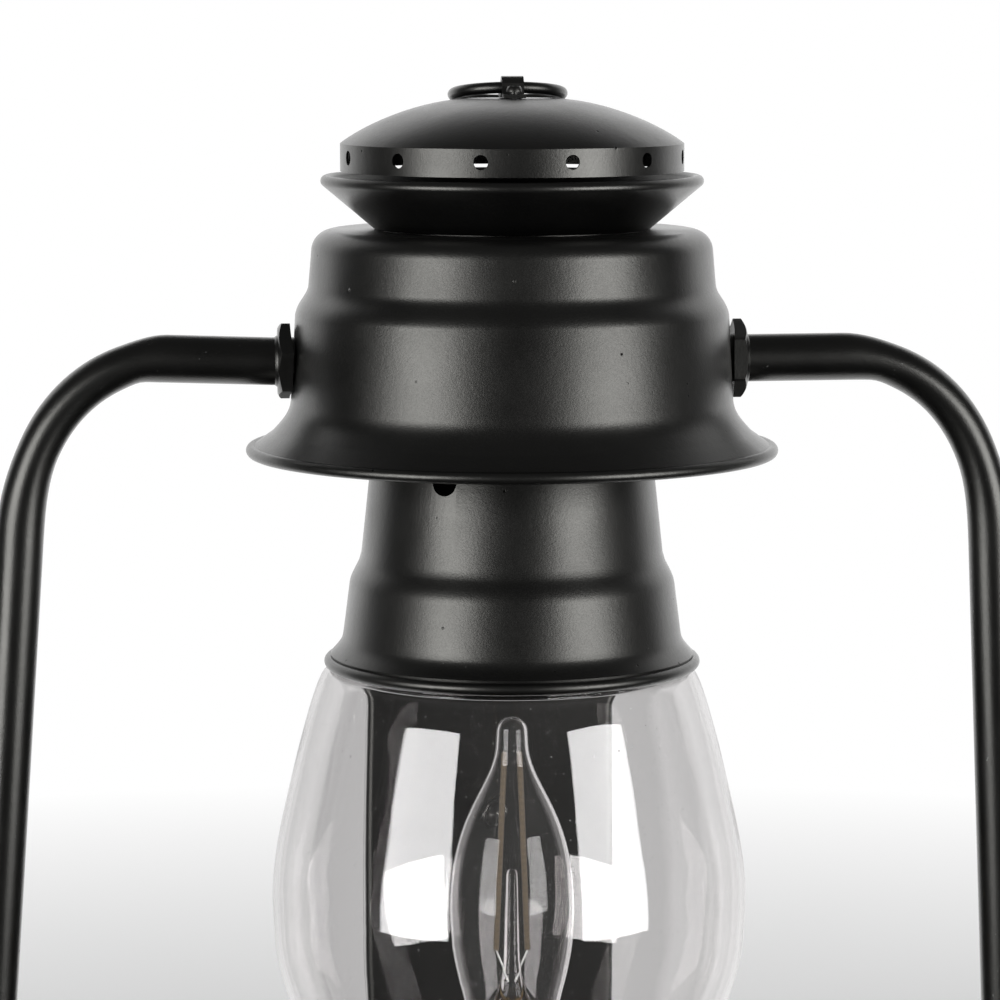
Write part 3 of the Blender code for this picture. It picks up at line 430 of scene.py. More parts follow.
def black_enamel(name, roughness=0.355, streaks=0.0):
    """Satin black stove enamel: orange peel, nibs and pinholes under the paint, dust and fine rub marks. The
    pinholes are also painted darker and without sheen, as painted shade in them.
    """
    look, tree, shader, place = new_finish(name)
    peel = noise(tree, place, 1.8 * MM, 2.0)
    grain = noise(tree, place, 0.5 * MM, 3.0)
    nibs = specks(tree, place, 6 * MM, 0.5 * MM, 0.35)
    pits_and_painted_pit_shade = specks(tree, place, 6 * MM, 0.5 * MM, 0.3)
    dust = specks(tree, place, 5.5 * MM, 0.16 * MM, 0.30)
    clouds = noise(tree, place, 30 * MM, 4.0, 0.6)
    rubs = noise(tree, place, 2.5 * MM, 6.0, 0.75, (0.25, 1, 5))
    rubbed = spread(tree, rubs, 0.64, 0.80)
    gloss = spread(tree, clouds, 0.3, 0.7, roughness - 0.035, roughness + 0.045)
    gloss = maths(tree, "SUBTRACT", gloss, maths(tree, "MULTIPLY", rubbed, 0.06))
    gloss = maths(tree, "ADD", gloss, spread(tree, grain, 0.35, 0.65, -0.02, 0.02))
    shade = mixed(tree, clouds, grey(0.0006), grey(0.0012))
    shade = mixed(tree, maths(tree, "MULTIPLY", dust, 0.5), shade, grey(0.34, 0.95))
    # Painted shade: the pinholes get a darker colour, for the light they trap.
    shade = mixed(tree, pits_and_painted_pit_shade, shade, grey(0.0004))
    normal = bump(tree, peel, 0.025 * MM)
    normal = bump(tree, grain, 0.03 * MM, normal)
    normal = bump(tree, nibs, 0.16 * MM, normal)
    normal = bump(tree, maths(tree, "SUBTRACT", 1.0, pits_and_painted_pit_shade), 0.25 * MM, normal)
    if streaks:
        worn = noise(tree, place, 1.1 * MM, 5.0, 0.7, (0.35, 1.0, 0.35))
        where = spread(tree, noise(tree, place, 26 * MM, 2.0), 0.47, 0.62)
        worn = maths(tree, "MULTIPLY", spread(tree, worn, 0.66, 0.74), where)
        shade = mixed(tree, maths(tree, "MULTIPLY", worn, streaks), shade, grey(0.30))
        gloss = maths(tree, "SUBTRACT", gloss, maths(tree, "MULTIPLY", worn, 0.08))
    # Painted shade as well: the pinholes lose their sheen, so they show as dark dots.
    specular_with_painted_pit_shade = spread(tree, pits_and_painted_pit_shade, 0.15, 0.6, 0.5, 0.0)
    set_inputs(tree, shader, Base_Color=shade, Roughness=gloss, Normal=normal, IOR=1.5)
    set_inputs(tree, shader, Specular_IOR_Level=specular_with_painted_pit_shade, Specular_Tint=(1.0, 0.99, 0.94, 1.0))
    return look


def plated(name, colour, roughness, tarnish=0.6):
    """Bright metal with a brushed grain, cloudy tarnish and a few dark spots."""
    look, tree, shader, place = new_finish(name)
    brushed = noise(tree, place, 0.5 * MM, 3.0, 0.6, (1, 1, 8))
    clouds = noise(tree, place, 6 * MM, 5.0, 0.65)
    spots = specks(tree, place, 4 * MM, 0.5 * MM, 0.25)
    dull = tuple(c * tarnish for c in colour)
    shade = mixed(tree, spread(tree, clouds, 0.35, 0.7), (*colour, 1.0), (*dull, 1.0))
    shade = mixed(tree, maths(tree, "MULTIPLY", spots, 0.5), shade, (*(c * 0.3 for c in colour), 1.0))
    gloss = spread(tree, clouds, 0.3, 0.7, roughness - 0.05, roughness + 0.15)
    normal = bump(tree, brushed, 0.01 * MM)
    set_inputs(tree, shader, Base_Color=shade, Roughness=gloss, Normal=normal, Metallic=1.0)
    return look


def moulded(name, colour, roughness, grain_depth):
    """Moulded phenolic or rubber, a little cloudy, with dust in its grain."""
    look, tree, shader, place = new_finish(name)
    grain = noise(tree, place, 0.6 * MM, 4.0)
    clouds = noise(tree, place, 8 * MM, 4.0)
    dust = specks(tree, place, 3 * MM, 0.2 * MM, 0.4)
    light = tuple(c * 1.6 + 0.01 for c in colour)
    shade = mixed(tree, spread(tree, clouds, 0.35, 0.7), (*colour, 1.0), (*light, 1.0))
    shade = mixed(tree, maths(tree, "MULTIPLY", dust, 0.3), shade, grey(0.4))
    gloss = spread(tree, clouds, 0.3, 0.7, roughness - 0.06, roughness + 0.08)
    set_inputs(tree, shader, Base_Color=shade, Roughness=gloss, Normal=bump(tree, grain, grain_depth))
    return look


def clear_glass(name, wave, seeds, bend=1.47, haze=0.0):
    """Blown glass with slow waves, a few seeds, dust and haze.

    It bends only camera rays and sharp reflections. Light for other pieces goes straight through.
    """
    look, tree, shader, place = new_finish(name)
    waves = noise(tree, place, 16 * MM, 1.0, 0.4, (1, 1, 0.6))
    normal = bump(tree, waves, wave)
    normal = bump(tree, specks(tree, place, 8 * MM, 0.4 * MM, seeds), 0.2 * MM, normal)
    links = {"Color": (0.985, 0.98, 0.98, 1.0), "IOR": bend, "Roughness": 0.0, "Normal": normal}
    glass = node(tree, "BsdfGlass", links)
    set_inputs(tree, shader, Base_Color=grey(0.45, 0.97), Roughness=0.9)
    dust = maths(tree, "ADD", specks(tree, place, 2.5 * MM, 0.24 * MM, 0.35), haze)
    glazed = node(tree, "MixShader", {0: dust, 1: glass.outputs[0], 2: shader.outputs[0]})
    clear = node(tree, "BsdfTransparent", {"Color": grey(0.93)})
    path = node(tree, "LightPath")
    seen = maths(tree, "MAXIMUM", path.outputs["Is Camera Ray"], path.outputs["Is Singular Ray"])
    through = node(tree, "MixShader", {0: seen, 1: clear.outputs[0], 2: glazed.outputs[0]})
    tree.links.new(through.outputs[0], tree.nodes["Material Output"].inputs["Surface"])
    return look


def filament_coating():
    """The phosphor on an LED filament, unlit, with the row of chips as darker bands. Its yellow is painted
    down to a dull brown, as painted shade of the filament lying in shadow.
    """
    look, tree, shader, place = new_finish("phosphor_coating")
    height = node(tree, "SeparateXYZ", {"Vector": place}).outputs["Z"]
    bands = maths(tree, "SINE", maths(tree, "MULTIPLY", height, 2 * math.pi / (1.9 * MM)))
    mottle = noise(tree, place, 1 * MM, 3.0)
    # Painted shade: both tones are a dark brown, far darker than the phosphor's own yellow.
    shade = mixed(tree, spread(tree, bands, -1, 1, 0.0, 0.4), (0.11, 0.08, 0.045, 1), (0.06, 0.045, 0.03, 1))
    set_inputs(tree, shader, Base_Color=shade, Roughness=0.55, Normal=bump(tree, mottle, 0.05 * MM))
    return look


FINISHES = {
    "enamel": (black_enamel("satin_black_enamel"), "black_paint"),
    "tube_enamel": (black_enamel("rubbed_black_enamel", 0.33, 0.8), "black_paint"),
    "zinc": (plated("zinc_plate", (0.62, 0.62, 0.60), 0.32), "zinc"),
    "brass": (plated("brass_shell", (0.72, 0.50, 0.20), 0.26), "brass"),
    "spring": (plated("spring_wire", (0.36, 0.36, 0.37), 0.28), "spring_steel"),
    "phenolic": (moulded("phenolic_body", (0.028, 0.024, 0.022), 0.42, 0.02 * MM), "phenolic"),
    "rubber": (moulded("rubber_gasket", (0.016, 0.016, 0.016), 0.8, 0.06 * MM), "rubber"),
    "globe": (clear_glass("globe_glass", 0.06 * MM, 0.2, haze=0.004), "globe_glass"),
    "bulb": (clear_glass("bulb_glass", 0.03 * MM, 0.02, 1.3, 0.012), "bulb_glass"),
    "phosphor": (filament_coating(), "phosphor"),
    "green": (plated("green_screw", (0.03, 0.24, 0.07), 0.36), "green_paint"),
}


# The hood and the side tubes.


def make_hood():
    shoulder = 5.8 * MM
    outer = [(36.9 * MM, HOOD_TOP)]
    outer += arc(HOOD_TOP_RADIUS - shoulder, HOOD_TOP - shoulder, shoulder, 90, 6, 12)
    outer += curve_mm((55.8, 45.4), (56.1, 42.4), (58.8, 41.0), (59.5, 37.3), 10)
    outer += curve_mm((60.8, 13.6), (61.2, 10.0), (63.2, 8.0), (66.0, 4.9), 12)
    rolled_edge = arc(RIM_RADIUS - BEAD, 0, BEAD, 118, -170, 18)
    turned("hood", outer + rolled_edge + inset(outer, SHEET)[::-1], "enamel")


def leg_route(side):
    """The tube's route in the lantern's XZ plane, from the hood to the tank, and how bent it is there."""
    leg = LEGS[side]
    splay = leg["splay"]
    pull_out, pull_up = leg["pulls"]
    down = Vector((math.sin(splay), -math.cos(splay)))
    start = Vector((leg["bend_start"], TUBE_TOP + leg["rise"]))
    end = Vector((leg["bend_end"], start.y - leg["bend_drop"]))
    first = Vector((66 * MM, TUBE_TOP))
    points = [(52 * MM, TUBE_TOP)] + [tuple(first.lerp(start, i / 8)) for i in range(8)]
    bent = [0] * len(points)
    turns = 32
    points += bezier(start, start + Vector((pull_out, 0)), end - down * pull_up, end, turns)
    bend = [smooth_rise(min(i, turns - i) / turns / 0.25) for i in range(turns + 1)]
    bent += bend
    foot_z = TUBE_FOOT + TUBE_BEND * (1 + math.sin(splay))
    foot_x = end.x + (end.y - foot_z) * math.tan(splay)
    foot = Vector((foot_x, foot_z))
    points += [tuple(end.lerp(foot, i / 40)) for i in range(1, 40)]
    bent += [0] * 39
    middle = foot_x - TUBE_BEND * math.cos(splay)
    points += arc(middle, TUBE_FOOT + TUBE_BEND, TUBE_BEND, math.degrees(splay), -90, turns)
    bent += bend
    points.append((62 * MM, TUBE_FOOT))
    bent.append(0)
    return points, bent


def smooth_rise(value):
    """From 0 to 1 and level at both ends."""
    value = min(max(value, 0), 1)
    return value * value * (3 - 2 * value)


def make_side_tube(side):
    """A bent tube. Bending left it flatter across, with a small kink on the inside where each bend starts."""
    sign = SIDES[side]
    points, bent = leg_route(side)
    path = [LANTERN @ Vector((sign * x, 0, z)) for x, z in points]
    inner_side = -sign * math.pi / 2
    kink = next(i for i, value in enumerate(bent) if value) + 5

    def swell(i, angle):
        across = math.cos(angle - inner_side)
        dent = math.exp(-((i - kink) / 2.2) ** 2)
        return 1 - BEND_FLATTENING * bent[i] * across ** 2 - 0.045 * dent * max(across, 0) ** 2

    name = f"side_tube_{side}"
    across = Vector((0, 1, 0))
    outside = sweep_rows(path, across, TUBE_RADIUS, 40, swell=swell)
    inside = sweep_rows(path, across, TUBE_RADIUS - TUBE_WALL, 40, swell=swell)
    mesh = skin(name + "_fine", outside + inside[::-1])
    add_piece(name + "_fine", mesh, "frame", "tube_enamel", name)


def make_tube_nuts(side):
    """Outside the sheet, nuts with their seats cut to the round wall. Inside, plain jam nuts."""
    sign = SIDES[side]
    out = Vector((sign, 0, 0))
    for end, wall, height in (("hood", HOOD_WAIST_RADIUS, TUBE_TOP), ("tank", TANK_RADIUS, TUBE_FOOT)):
        crest = wall + GAP
        axis_point = LANTERN @ Vector((0, 0, height))
        turn = NUT_TURN[side] if end == "hood" else math.radians(11 * sign)
        place = facing(axis_point + out * (crest - NUT_SADDLE), out, turn)
        nut = hex_nut(f"{end}_nut_{side}", "enamel", place, thickness=NUT_THICKNESS + NUT_SADDLE)
        barrel = rod_mesh(crest, 2 * NUT_FLATS, Matrix.Translation(axis_point), STEPS)
        cut(nut, [barrel])
        low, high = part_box(f"{end}_jam_nut_{side}")
        seat = Vector((high.x if sign > 0 else low.x, AXIS.y, axis_point.z))
        hex_nut(f"{end}_jam_nut_{side}", "zinc", facing(seat, -out), thickness=JAM_NUT)
        # A lip of paint stands on the tube where the nut was painted to it.
        lip = millimetres((6.56, 0.8), (6.9, 0.35), (7.1, 0), (6.56, 0))
        nut_face = facing(axis_point + out * (crest + NUT_THICKNESS), out)
        mesh = skin("paint_lip", turned_rows(lambda angle: lip, FINE_STEPS, nut_face))
        add_piece(f"{end}_nut_{side}_lip", mesh, "frame", "tube_enamel")


# The chimney: the neck below the hood, the crown above it, the spring and the lift ring.


def make_neck():
    outer = millimetres((36.0, 66.0), (36.0, 14.0), (38.0, 5.0), (41.6, -28.4))
    outer += curve_mm((42.2, -30.6), (43.0, -32.6), (44.5, -34.4), (44.9, -37.0), 8)
    outer += millimetres((46.6, -50.2))
    outer += curve_mm((46.9, -52.0), (47.4, -53.6), (48.6, -54.8), (50.2, -56.6), 6)
    rolled_edge = arc(RING_RADIUS - BEAD, RING_HEIGHT, BEAD, 100, -175, 16)
    neck = turned("neck", outer + rolled_edge + inset(outer, SHEET)[::-1], "enamel")
    out = Vector((math.sin(VENT_BEARING), -math.cos(VENT_BEARING), 0))
    cut(neck, [rod_mesh(VENT_RADIUS, 12 * MM, facing(LANTERN @ (out * 39 * MM + UP * VENT_HEIGHT), out))])


def make_crown():
    foot = 37.8 * MM
    crown_foot = HOOD_TOP + GAP
    collar = CHIMNEY_RADIUS + GAP
    flare_r = CROWN_RADIUS - BEAD
    flare_z = crown_foot + flare_r - foot
    cone = [(foot, crown_foot), (collar, crown_foot), (collar, crown_foot + 2 * MM)]
    cone += arc(flare_r, flare_z, BEAD, 170, -45, 14)
    turned("crown_cone", cone, "enamel")
    skirt_top = CAP_FOOT + 7.5 * MM
    outer = [(12 * MM, CAP_TOP)]
    dome_start = (13 * MM, CAP_TOP)
    pull_out = (28 * MM, CAP_TOP - MM)
    pull_down = (42 * MM, skirt_top + 4 * MM)
    outer += bezier(dome_start, pull_out, pull_down, (SKIRT_RADIUS, skirt_top), 16)
    outer += [(SKIRT_RADIUS, CAP_FOOT), (SKIRT_RADIUS - SHEET, CAP_FOOT)]
    inner = inset(outer[:-2], SHEET)
    dome = [(0, CAP_TOP)] + outer + inner[::-1] + [(0, CAP_TOP - SHEET)]
    cap = turned("crown_cap", dome, "enamel", closed=False)
    vents = []
    pairs = 6
    for i in range(pairs):
        angle = math.pi * (i + 0.5) / pairs
        direction = Vector((math.cos(angle), math.sin(angle), 0))
        middle = AXIS + UP * (RIM + CAP_FOOT + 4 * MM)
        vents.append(rod_mesh(2 * MM, 120 * MM, facing(middle, direction), 20))
    cut(cap, vents)


def make_lift_ring():
    hinge = LANTERN @ Matrix.Translation(UP * (CAP_TOP + 3 * MM)) @ Matrix.Rotation(-LIFT_RING_LIE, 4, "X")
    count = 96
    path = []
    for i in range(count):
        angle = 2 * math.pi * i / count
        path.append(hinge @ (LIFT_RING_RADIUS * Vector((math.cos(angle), 1 + math.sin(angle), 0))))
    mesh = skin("lift_ring_fine", sweep_rows(path, UP, LIFT_RING_WIRE, 24, loop=True))
    add_piece("lift_ring_fine", mesh, "ring", "tube_enamel", "lift_ring")
    for end in ("front", "back"):
        name = "saddle_rivet_" + end
        low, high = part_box(name)
        middle = Vector((AXIS.x, (low.y + high.y) / 2, 0))
        head_foot = high.z - 1.5 * MM
        head = [(0, high.z)] + arc(0, head_foot, 2.2 * MM, 43, 0, 8)
        section = head + [(1.1 * MM, head_foot), (1.1 * MM, low.z), (0, low.z)]
        turned(name, section, "enamel", 32, Matrix.Translation(middle), closed=False)


def make_spring():
    """The coil, which is squeezed against the hood's top when the chimney is lifted."""
    low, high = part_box("chimney_spring")
    wire = 0.9 * MM
    coil = (high.x - low.x) / 2 - wire
    turns = 4
    per_turn = 48
    path = []
    for i in range(turns * per_turn + 1):
        along = min(max((i - per_turn / 2) / (per_turn * (turns - 1)), 0), 1)
        angle = 2 * math.pi * i / per_turn
        rise = low.z + wire + (high.z - low.z - 2 * wire) * along
        path.append(AXIS + Vector((coil * math.cos(angle), coil * math.sin(angle), rise)))
    mesh = skin("chimney_spring_fine", sweep_rows(path, UP, wire, 12), rows_meet=False)
    spring = add_piece("chimney_spring_fine", mesh, "frame", "spring", "chimney_spring")
    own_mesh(spring)
    seat_low, seat_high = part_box("spring_seat")
    inner = CHIMNEY_RADIUS + GAP
    seat = [(44 * MM, seat_high.z), (44 * MM, seat_low.z), (inner, seat_low.z), (inner, seat_high.z)]
    turned("spring_seat", seat, "zinc", place=Matrix.Translation(AXIS))


# The globe, the burner under it and the lamp.


def make_globe():
    low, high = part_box("globe")
    middle = Matrix.Translation(((low.x + high.x) / 2, AXIS.y, RIM))
    outer = [(45.2 * MM, GLOBE_MOUTH)]
    outer += curve_mm((45.4, -58.6), (47.4, -60.6), (50.6, -59.6), (52.4, -63.6), 14)
    outer += curve_mm((52.4, -63.6), (54.0, -66.6), (57.6, -79.0), (60.0, -89.5), 16)[1:]
    outer += curve_mm((60.0, -89.5), (62.6, -101.0), (65.6, -111.0), (66.0, -125.0), 14)[1:]
    outer += curve_mm((65.5, -136.0), (64.0, -158.0), (48.0, -176.0), (43.4, -189.0), 24)
    outer += [(GLOBE_FOOT_RADIUS, GLOBE_FOOT)]
    turned("globe", sheet_section(outer, GLASS), "globe", 192, middle)


def make_burner():
    deck = 1.0 * MM
    hole = SLEEVE_RADIUS + MM
    lip = GALLERY_RADIUS - 1.6 * MM
    outer = [(GALLERY_RADIUS, GALLERY + 9 * MM), (GALLERY_RADIUS - 0.6 * MM, GALLERY + 2 * MM)]
    outer += [(lip, GALLERY - deck), (hole, GALLERY - deck)]
    inner = [(hole, GALLERY), (lip - 0.6 * MM, GALLERY), (GALLERY_RADIUS - 1.6 * MM, GALLERY + 2.4 * MM)]
    inner += [(GALLERY_RADIUS - MM, GALLERY + 9 * MM)]
    gallery = turned("globe_gallery", outer + inner, "enamel")
    ring = 35.5 * MM
    holes = 12
    tools = []
    for i in range(holes):
        angle = 2 * math.pi * (i + 0.5) / holes
        middle = LANTERN @ Vector((ring * math.cos(angle), ring * math.sin(angle), GALLERY))
        tools.append(rod_mesh(2.5 * MM, 6 * MM, facing(middle, UP), 24))
    cut(gallery, tools)
    seat_top = GLOBE_FOOT - GAP
    seat_foot = GALLERY + GAP
    seat = [(44.4 * MM, seat_top), (44.4 * MM, seat_foot), (40.4 * MM, seat_foot), (40.4 * MM, seat_top)]
    turned("globe_seat", seat, "rubber")
    collar = [(31 * MM, GALLERY - deck - GAP), (31 * MM, TANK_TOP + GAP)]
    turned("burner_collar", sheet_section(collar), "enamel")
    lip = 0.4 * MM
    sleeve = arc(SLEEVE_RADIUS - lip, -165.9 * MM, lip, 90, 0, 4) + [(SLEEVE_RADIUS, TANK_TOP + lip)]
    turned("socket_sleeve", sheet_section(sleeve), "enamel", 96)


def make_lamp_holder():
    body = 19.4 * MM
    shell = 14.5 * MM
    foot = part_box("lamp_holder")[0].z - RIM
    well = -194.0 * MM
    rod_hole = 5.1 * MM
    rod_top = foot + 5 * MM
    section = [(0, well), (shell + GAP, well), (shell + GAP, -168 * MM)]
    section += [(body - MM, -168 * MM), (body, -169 * MM)]
    section += [(body, foot), (rod_hole, foot), (rod_hole, rod_top), (0, rod_top)]
    turned("lamp_holder", section, "phenolic", FINE_STEPS, closed=False)
    shell_foot = well + GAP
    inner = BULB_CAP_RADIUS + 0.5 * MM
    cup = [(shell, -169 * MM), (shell, shell_foot), (6 * MM, shell_foot), (6 * MM, shell_foot + 0.6 * MM)]
    cup += [(inner, shell_foot + 0.6 * MM), (inner, -169 * MM)]
    turned("holder_shell", cup, "brass", FINE_STEPS)


def make_bulb():
    tip_radius = 4.4 * MM
    outer = [(0, BULB_TIP)] + arc(0, BULB_TIP - tip_radius, tip_radius, 84, 0, 12)
    outer += curve_mm((4.7, -84.0), (6.4, -96.0), (17.5, -102.0), (17.5, -130.0), 24)
    outer += curve_mm((17.0, -139.0), (15.6, -150.0), (13.0, -154.0), (12.4, -164.0), 12)
    inner = inset(outer[1:], 0.7 * MM)[::-1]
    turned("bulb_glass", outer + inner + [(0, BULB_TIP - 0.7 * MM)], "bulb", 96, closed=False)
    stem = [(0, -118 * MM)] + arc(0, -119.6 * MM, 1.6 * MM, 75, 0, 6)
    stem += curve_mm((2.2, -142.0), (2.4, -150.0), (5.0, -156.0), (8.0, -160.0), 8)
    stem += millimetres((8.0, -166.0), (0, -166.0))
    turned("bulb_stem", stem, "bulb", FINE_STEPS, closed=False)
    for i, sign in ((1, -1), (2, 1)):
        top, foot = (LANTERN @ Vector((sign * r, 0, z)) for r, z in (FILAMENT_TOP, FILAMENT_FOOT))
        length = (top - foot).length
        section = [(0, length)] + arc(0, length - FILAMENT, FILAMENT, 70, 0, 4) + [(FILAMENT, 0), (0, 0)]
        turned(f"bulb_filament_{i}", section, "phosphor", 20, facing(foot, top - foot), closed=False)
        root = LANTERN @ Vector((sign * 0.7 * MM, 0, -150 * MM))
        lead = [foot.lerp(root, step / 8) for step in range(9)]
        mesh = skin("lead", sweep_rows(lead, Vector((0, 1, 0)), 0.25 * MM, 8), rows_meet=False)
        add_piece(f"bulb_lead_{i}", mesh, "bulb", "zinc")
    make_bulb_cap()


def make_bulb_cap():
    """The screw cap, with its rolled thread."""
    pitch = 3.6 * MM
    top = -162.0 * MM
    foot = -181.0 * MM
    rings = 60

    def section_at(angle):
        outside = []
        for k in range(rings + 1):
            height = top + (foot - top) * k / rings
            fade = min(1, k / 8, (rings - k) / 4)
            wave = 0.5 + 0.5 * math.cos(2 * math.pi * height / pitch - angle)
            outside.append((BULB_CAP_RADIUS - 0.9 * MM * fade * wave, height))
        below = millimetres((6.0, -185.5), (4.4, -185.5), (4.4, -184.5))
        below += millimetres((11.2, -180.0), (11.2, -164.5), (12.0, -162.0))
        return outside + below

    mesh = skin("bulb_cap_fine", turned_rows(section_at, 96, LANTERN))
    add_piece("bulb_cap_fine", mesh, "bulb", "brass", "bulb_cap")


# The tank and what it holds.


def make_tank():
    shoulder = 7 * MM
    outer = [(26 * MM, TANK_TOP), (47 * MM, TANK_TOP)]
    outer += curve_mm((48.0, -206.1), (48.6, -206.3), (49.4, -206.6), (50.0, -206.8), 4)
    outer += millimetres((60.0, -210.6))
    outer += arc(TANK_RADIUS - shoulder, -219.5 * MM, shoulder, 62, 0, 12)
    outer += [(TANK_RADIUS, -245 * MM)]
    outer += curve_mm((70.4, -248.0), (70.8, -251.0), (71.6, -253.0), (72.8, -254.2), 6)
    rolled_edge = arc(TANK_RIM_RADIUS - BEAD, TANK_RIM, BEAD, 100, -175, 16)
    turned("tank", outer + rolled_edge + inset(outer, SHEET)[::-1], "enamel")
    edge = 68.6 * MM
    deck = -250 * MM
    outer = [(5.1 * MM, deck), (edge - 2 * MM, deck)] + arc(edge - 2 * MM, deck - 2 * MM, 2 * MM, 80, 0, 6)
    turned("tank_base", sheet_section(outer + [(edge, TANK_RIM)]), "enamel")
    seat = LANTERN @ Vector((0, 0, deck - SHEET - GAP))
    hex_nut("base_nut", "enamel", facing(seat, -UP), 16 * MM, 3.4 * MM, 5.1 * MM)


def make_filler():
    ring = 56 * MM
    direction = Vector((math.cos(FILLER_BEARING), math.sin(FILLER_BEARING), 0))
    normal = direction * math.sin(FILLER_SLOPE) + UP * math.cos(FILLER_SLOPE)
    seat = LANTERN @ (direction * ring + UP * (TANK_TOP - 8 * MM * math.tan(FILLER_SLOPE)))
    place = facing(seat, normal)
    neck = 7.6 * MM
    top = 6 * MM
    flange = neck + 2.4 * MM
    section = [(neck, top), (neck, MM + GAP)] + arc(flange - MM, GAP, MM, 90, 0, 5)
    section += [(neck, GAP), (neck, -2 * MM), (neck - MM, -2 * MM), (neck - MM, top)]
    turned("filler_neck", section, "enamel", FINE_STEPS, place)
    crown = top + GAP
    radius = 10.5 * MM
    ribs = 36

    def section_at(angle):
        rib = 0.3 * MM * (0.5 - 0.5 * math.cos(ribs * angle))
        raised = [(0, crown + 2 * MM), (5.2 * MM, crown + 2 * MM), (5.8 * MM, crown + 1.4 * MM)]
        edge = arc(radius - 1.2 * MM, crown + 0.2 * MM, 1.2 * MM, 90, 0, 6)
        side = [(radius - rib, crown - 0.6 * MM), (radius - rib, 2.6 * MM), (radius - 0.4 * MM, 2 * MM)]
        return raised + edge + side + [(neck + GAP, 2 * MM), (neck + GAP, crown), (0, crown)]

    mesh = skin("filler_cap_fine", turned_rows(section_at, 4 * ribs, place), closed=False)
    add_piece("filler_cap_fine", mesh, "filler", "enamel", "filler_cap")


def make_switch():
    """The wheel like an oil lantern's wick raiser, which turns the switch."""
    low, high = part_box("wick_knob")
    middle = Vector((AXIS.x, high.y, (low.z + high.z) / 2))
    depth = high.y - low.y
    flutes = 16
    bevel = 0.5 * MM

    def section_at(angle):
        radius = (9.5 + 0.5 * math.cos(flutes * angle)) * MM
        groove = depth - 0.6 * MM
        face = [(0, depth), (5.6 * MM, depth), (6.2 * MM, groove), (7.6 * MM, groove), (8.2 * MM, depth)]
        edge = [(radius - bevel, depth), (radius, depth - bevel), (radius, bevel), (radius - bevel, 0)]
        return face + edge + [(0, 0)]

    mesh = skin("wick_knob_fine", turned_rows(section_at, 8 * flutes, facing(middle, FRONT)), closed=False)
    add_piece("wick_knob_fine", mesh, "switch", "enamel", "wick_knob")
    low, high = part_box("switch_nut")
    seat = Vector((AXIS.x, high.y, middle.z))
    hex_nut("switch_nut", "enamel", facing(seat, FRONT, math.radians(20)), 14 * MM, 2.4 * MM, 4.8 * MM)


# The wall plate and its fixings.


def rounded_outline(half_width, half_height, corner, depth):
    """A ring of points round an upright rectangle with round corners, at a depth from the wall."""
    corner = max(corner, 0.2 * MM)
    steps = 10
    points = []
    for quarter, (x, z) in enumerate(((1, 1), (-1, 1), (-1, -1), (1, -1))):
        for i in range(steps + 1):
            angle = math.radians(90 * quarter + 90 * i / steps)
            across = x * (half_width - corner) + corner * math.cos(angle)
            up = z * (half_height - corner) + corner * math.sin(angle)
            points.append(Vector((across, depth, up)))
    return points


def make_wall_plate():
    low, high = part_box("wall_plate")
    half_width = (high.x - low.x) / 2
    half_height = (high.z - low.z) / 2
    round_over = 2.5 * MM
    wall = 1.0 * MM
    outside = [(0, high.y)]
    for i in range(9):
        angle = math.radians(90 * i / 8)
        outside.append((round_over * (1 - math.cos(angle)), low.y + round_over * (1 - math.sin(angle))))
    inside = [(wall, high.y)]
    inner_round = round_over - wall
    for i in range(9):
        angle = math.radians(90 * i / 8)
        depth = low.y + wall + inner_round * (1 - math.sin(angle))
        inside.append((wall + inner_round * (1 - math.cos(angle)), depth))
    rows = []
    for step, depth in inside[::-1] + outside:
        rows.append(rounded_outline(half_width - step, half_height - step, PLATE_CORNER - step, depth))
    mesh = skin("wall_plate_fine", rows, rows_meet=False)
    add_piece("wall_plate_fine", mesh, "frame", "enamel", "wall_plate")

    low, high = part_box("wall_gasket")
    border = 8 * MM
    ring = [(0, high.y), (0, low.y), (border, low.y), (border, high.y)]
    rows = []
    for step, depth in ring:
        rows.append(rounded_outline(half_width - step, half_height - step, PLATE_CORNER - step, depth))
    add_piece("wall_gasket_fine", skin("wall_gasket_fine", rows), "frame", "rubber", "wall_gasket")

    for end in ("upper", "lower"):
        low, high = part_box("cap_nut_" + end)
        seat = Vector((AXIS.x, high.y, (low.z + high.z) / 2))
        thickness = 4.2 * MM
        dome = high.y - low.y - thickness
        place = facing(seat, FRONT, math.radians(9))
        hex_nut("cap_nut_" + end, "enamel", place, 9 * MM, thickness, dome=dome)


def make_back_nipple():
    low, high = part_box("back_spacer")
    radius = (high.x - low.x) / 2
    bore = 6.6 * MM
    length = high.y - low.y
    place = facing(Vector((AXIS.x, high.y, (low.z + high.z) / 2)), FRONT)
    section = [(bore, length), (radius - 0.6 * MM, length), (radius, length - 0.6 * MM), (radius, 0.6 * MM)]
    section += [(radius - 0.6 * MM, 0), (bore, 0)]
    turned("back_spacer", section, "enamel", FINE_STEPS, place)
    for name, direction, seat in (("plate_lock_nut", -FRONT, 0), ("tank_lock_nut", FRONT, 1)):
        low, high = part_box(name)
        point = Vector((AXIS.x, (low, high)[seat].y, (low.z + high.z) / 2))
        hex_nut(name, "zinc", facing(point, direction), thickness=3.6 * MM, bore=bore)


def finish_cad_nodes():
    """The pieces inside and behind, whose CAD shape is right, take the finishes too."""
    by_slot = {record_slot: look for look, record_slot in FINISHES.values()}
    by_slot["black_paint"] = FINISHES["enamel"][0]
    for subpart in frame["record"]["subparts"]:
        piece = frame["nodes"][subpart["node"]]
        piece.data.materials.clear()
        piece.data.materials.append(by_slot[subpart["material_slot"]])


# The studio: a pale floor, two softboxes in front, and a white backdrop behind in a dark room.


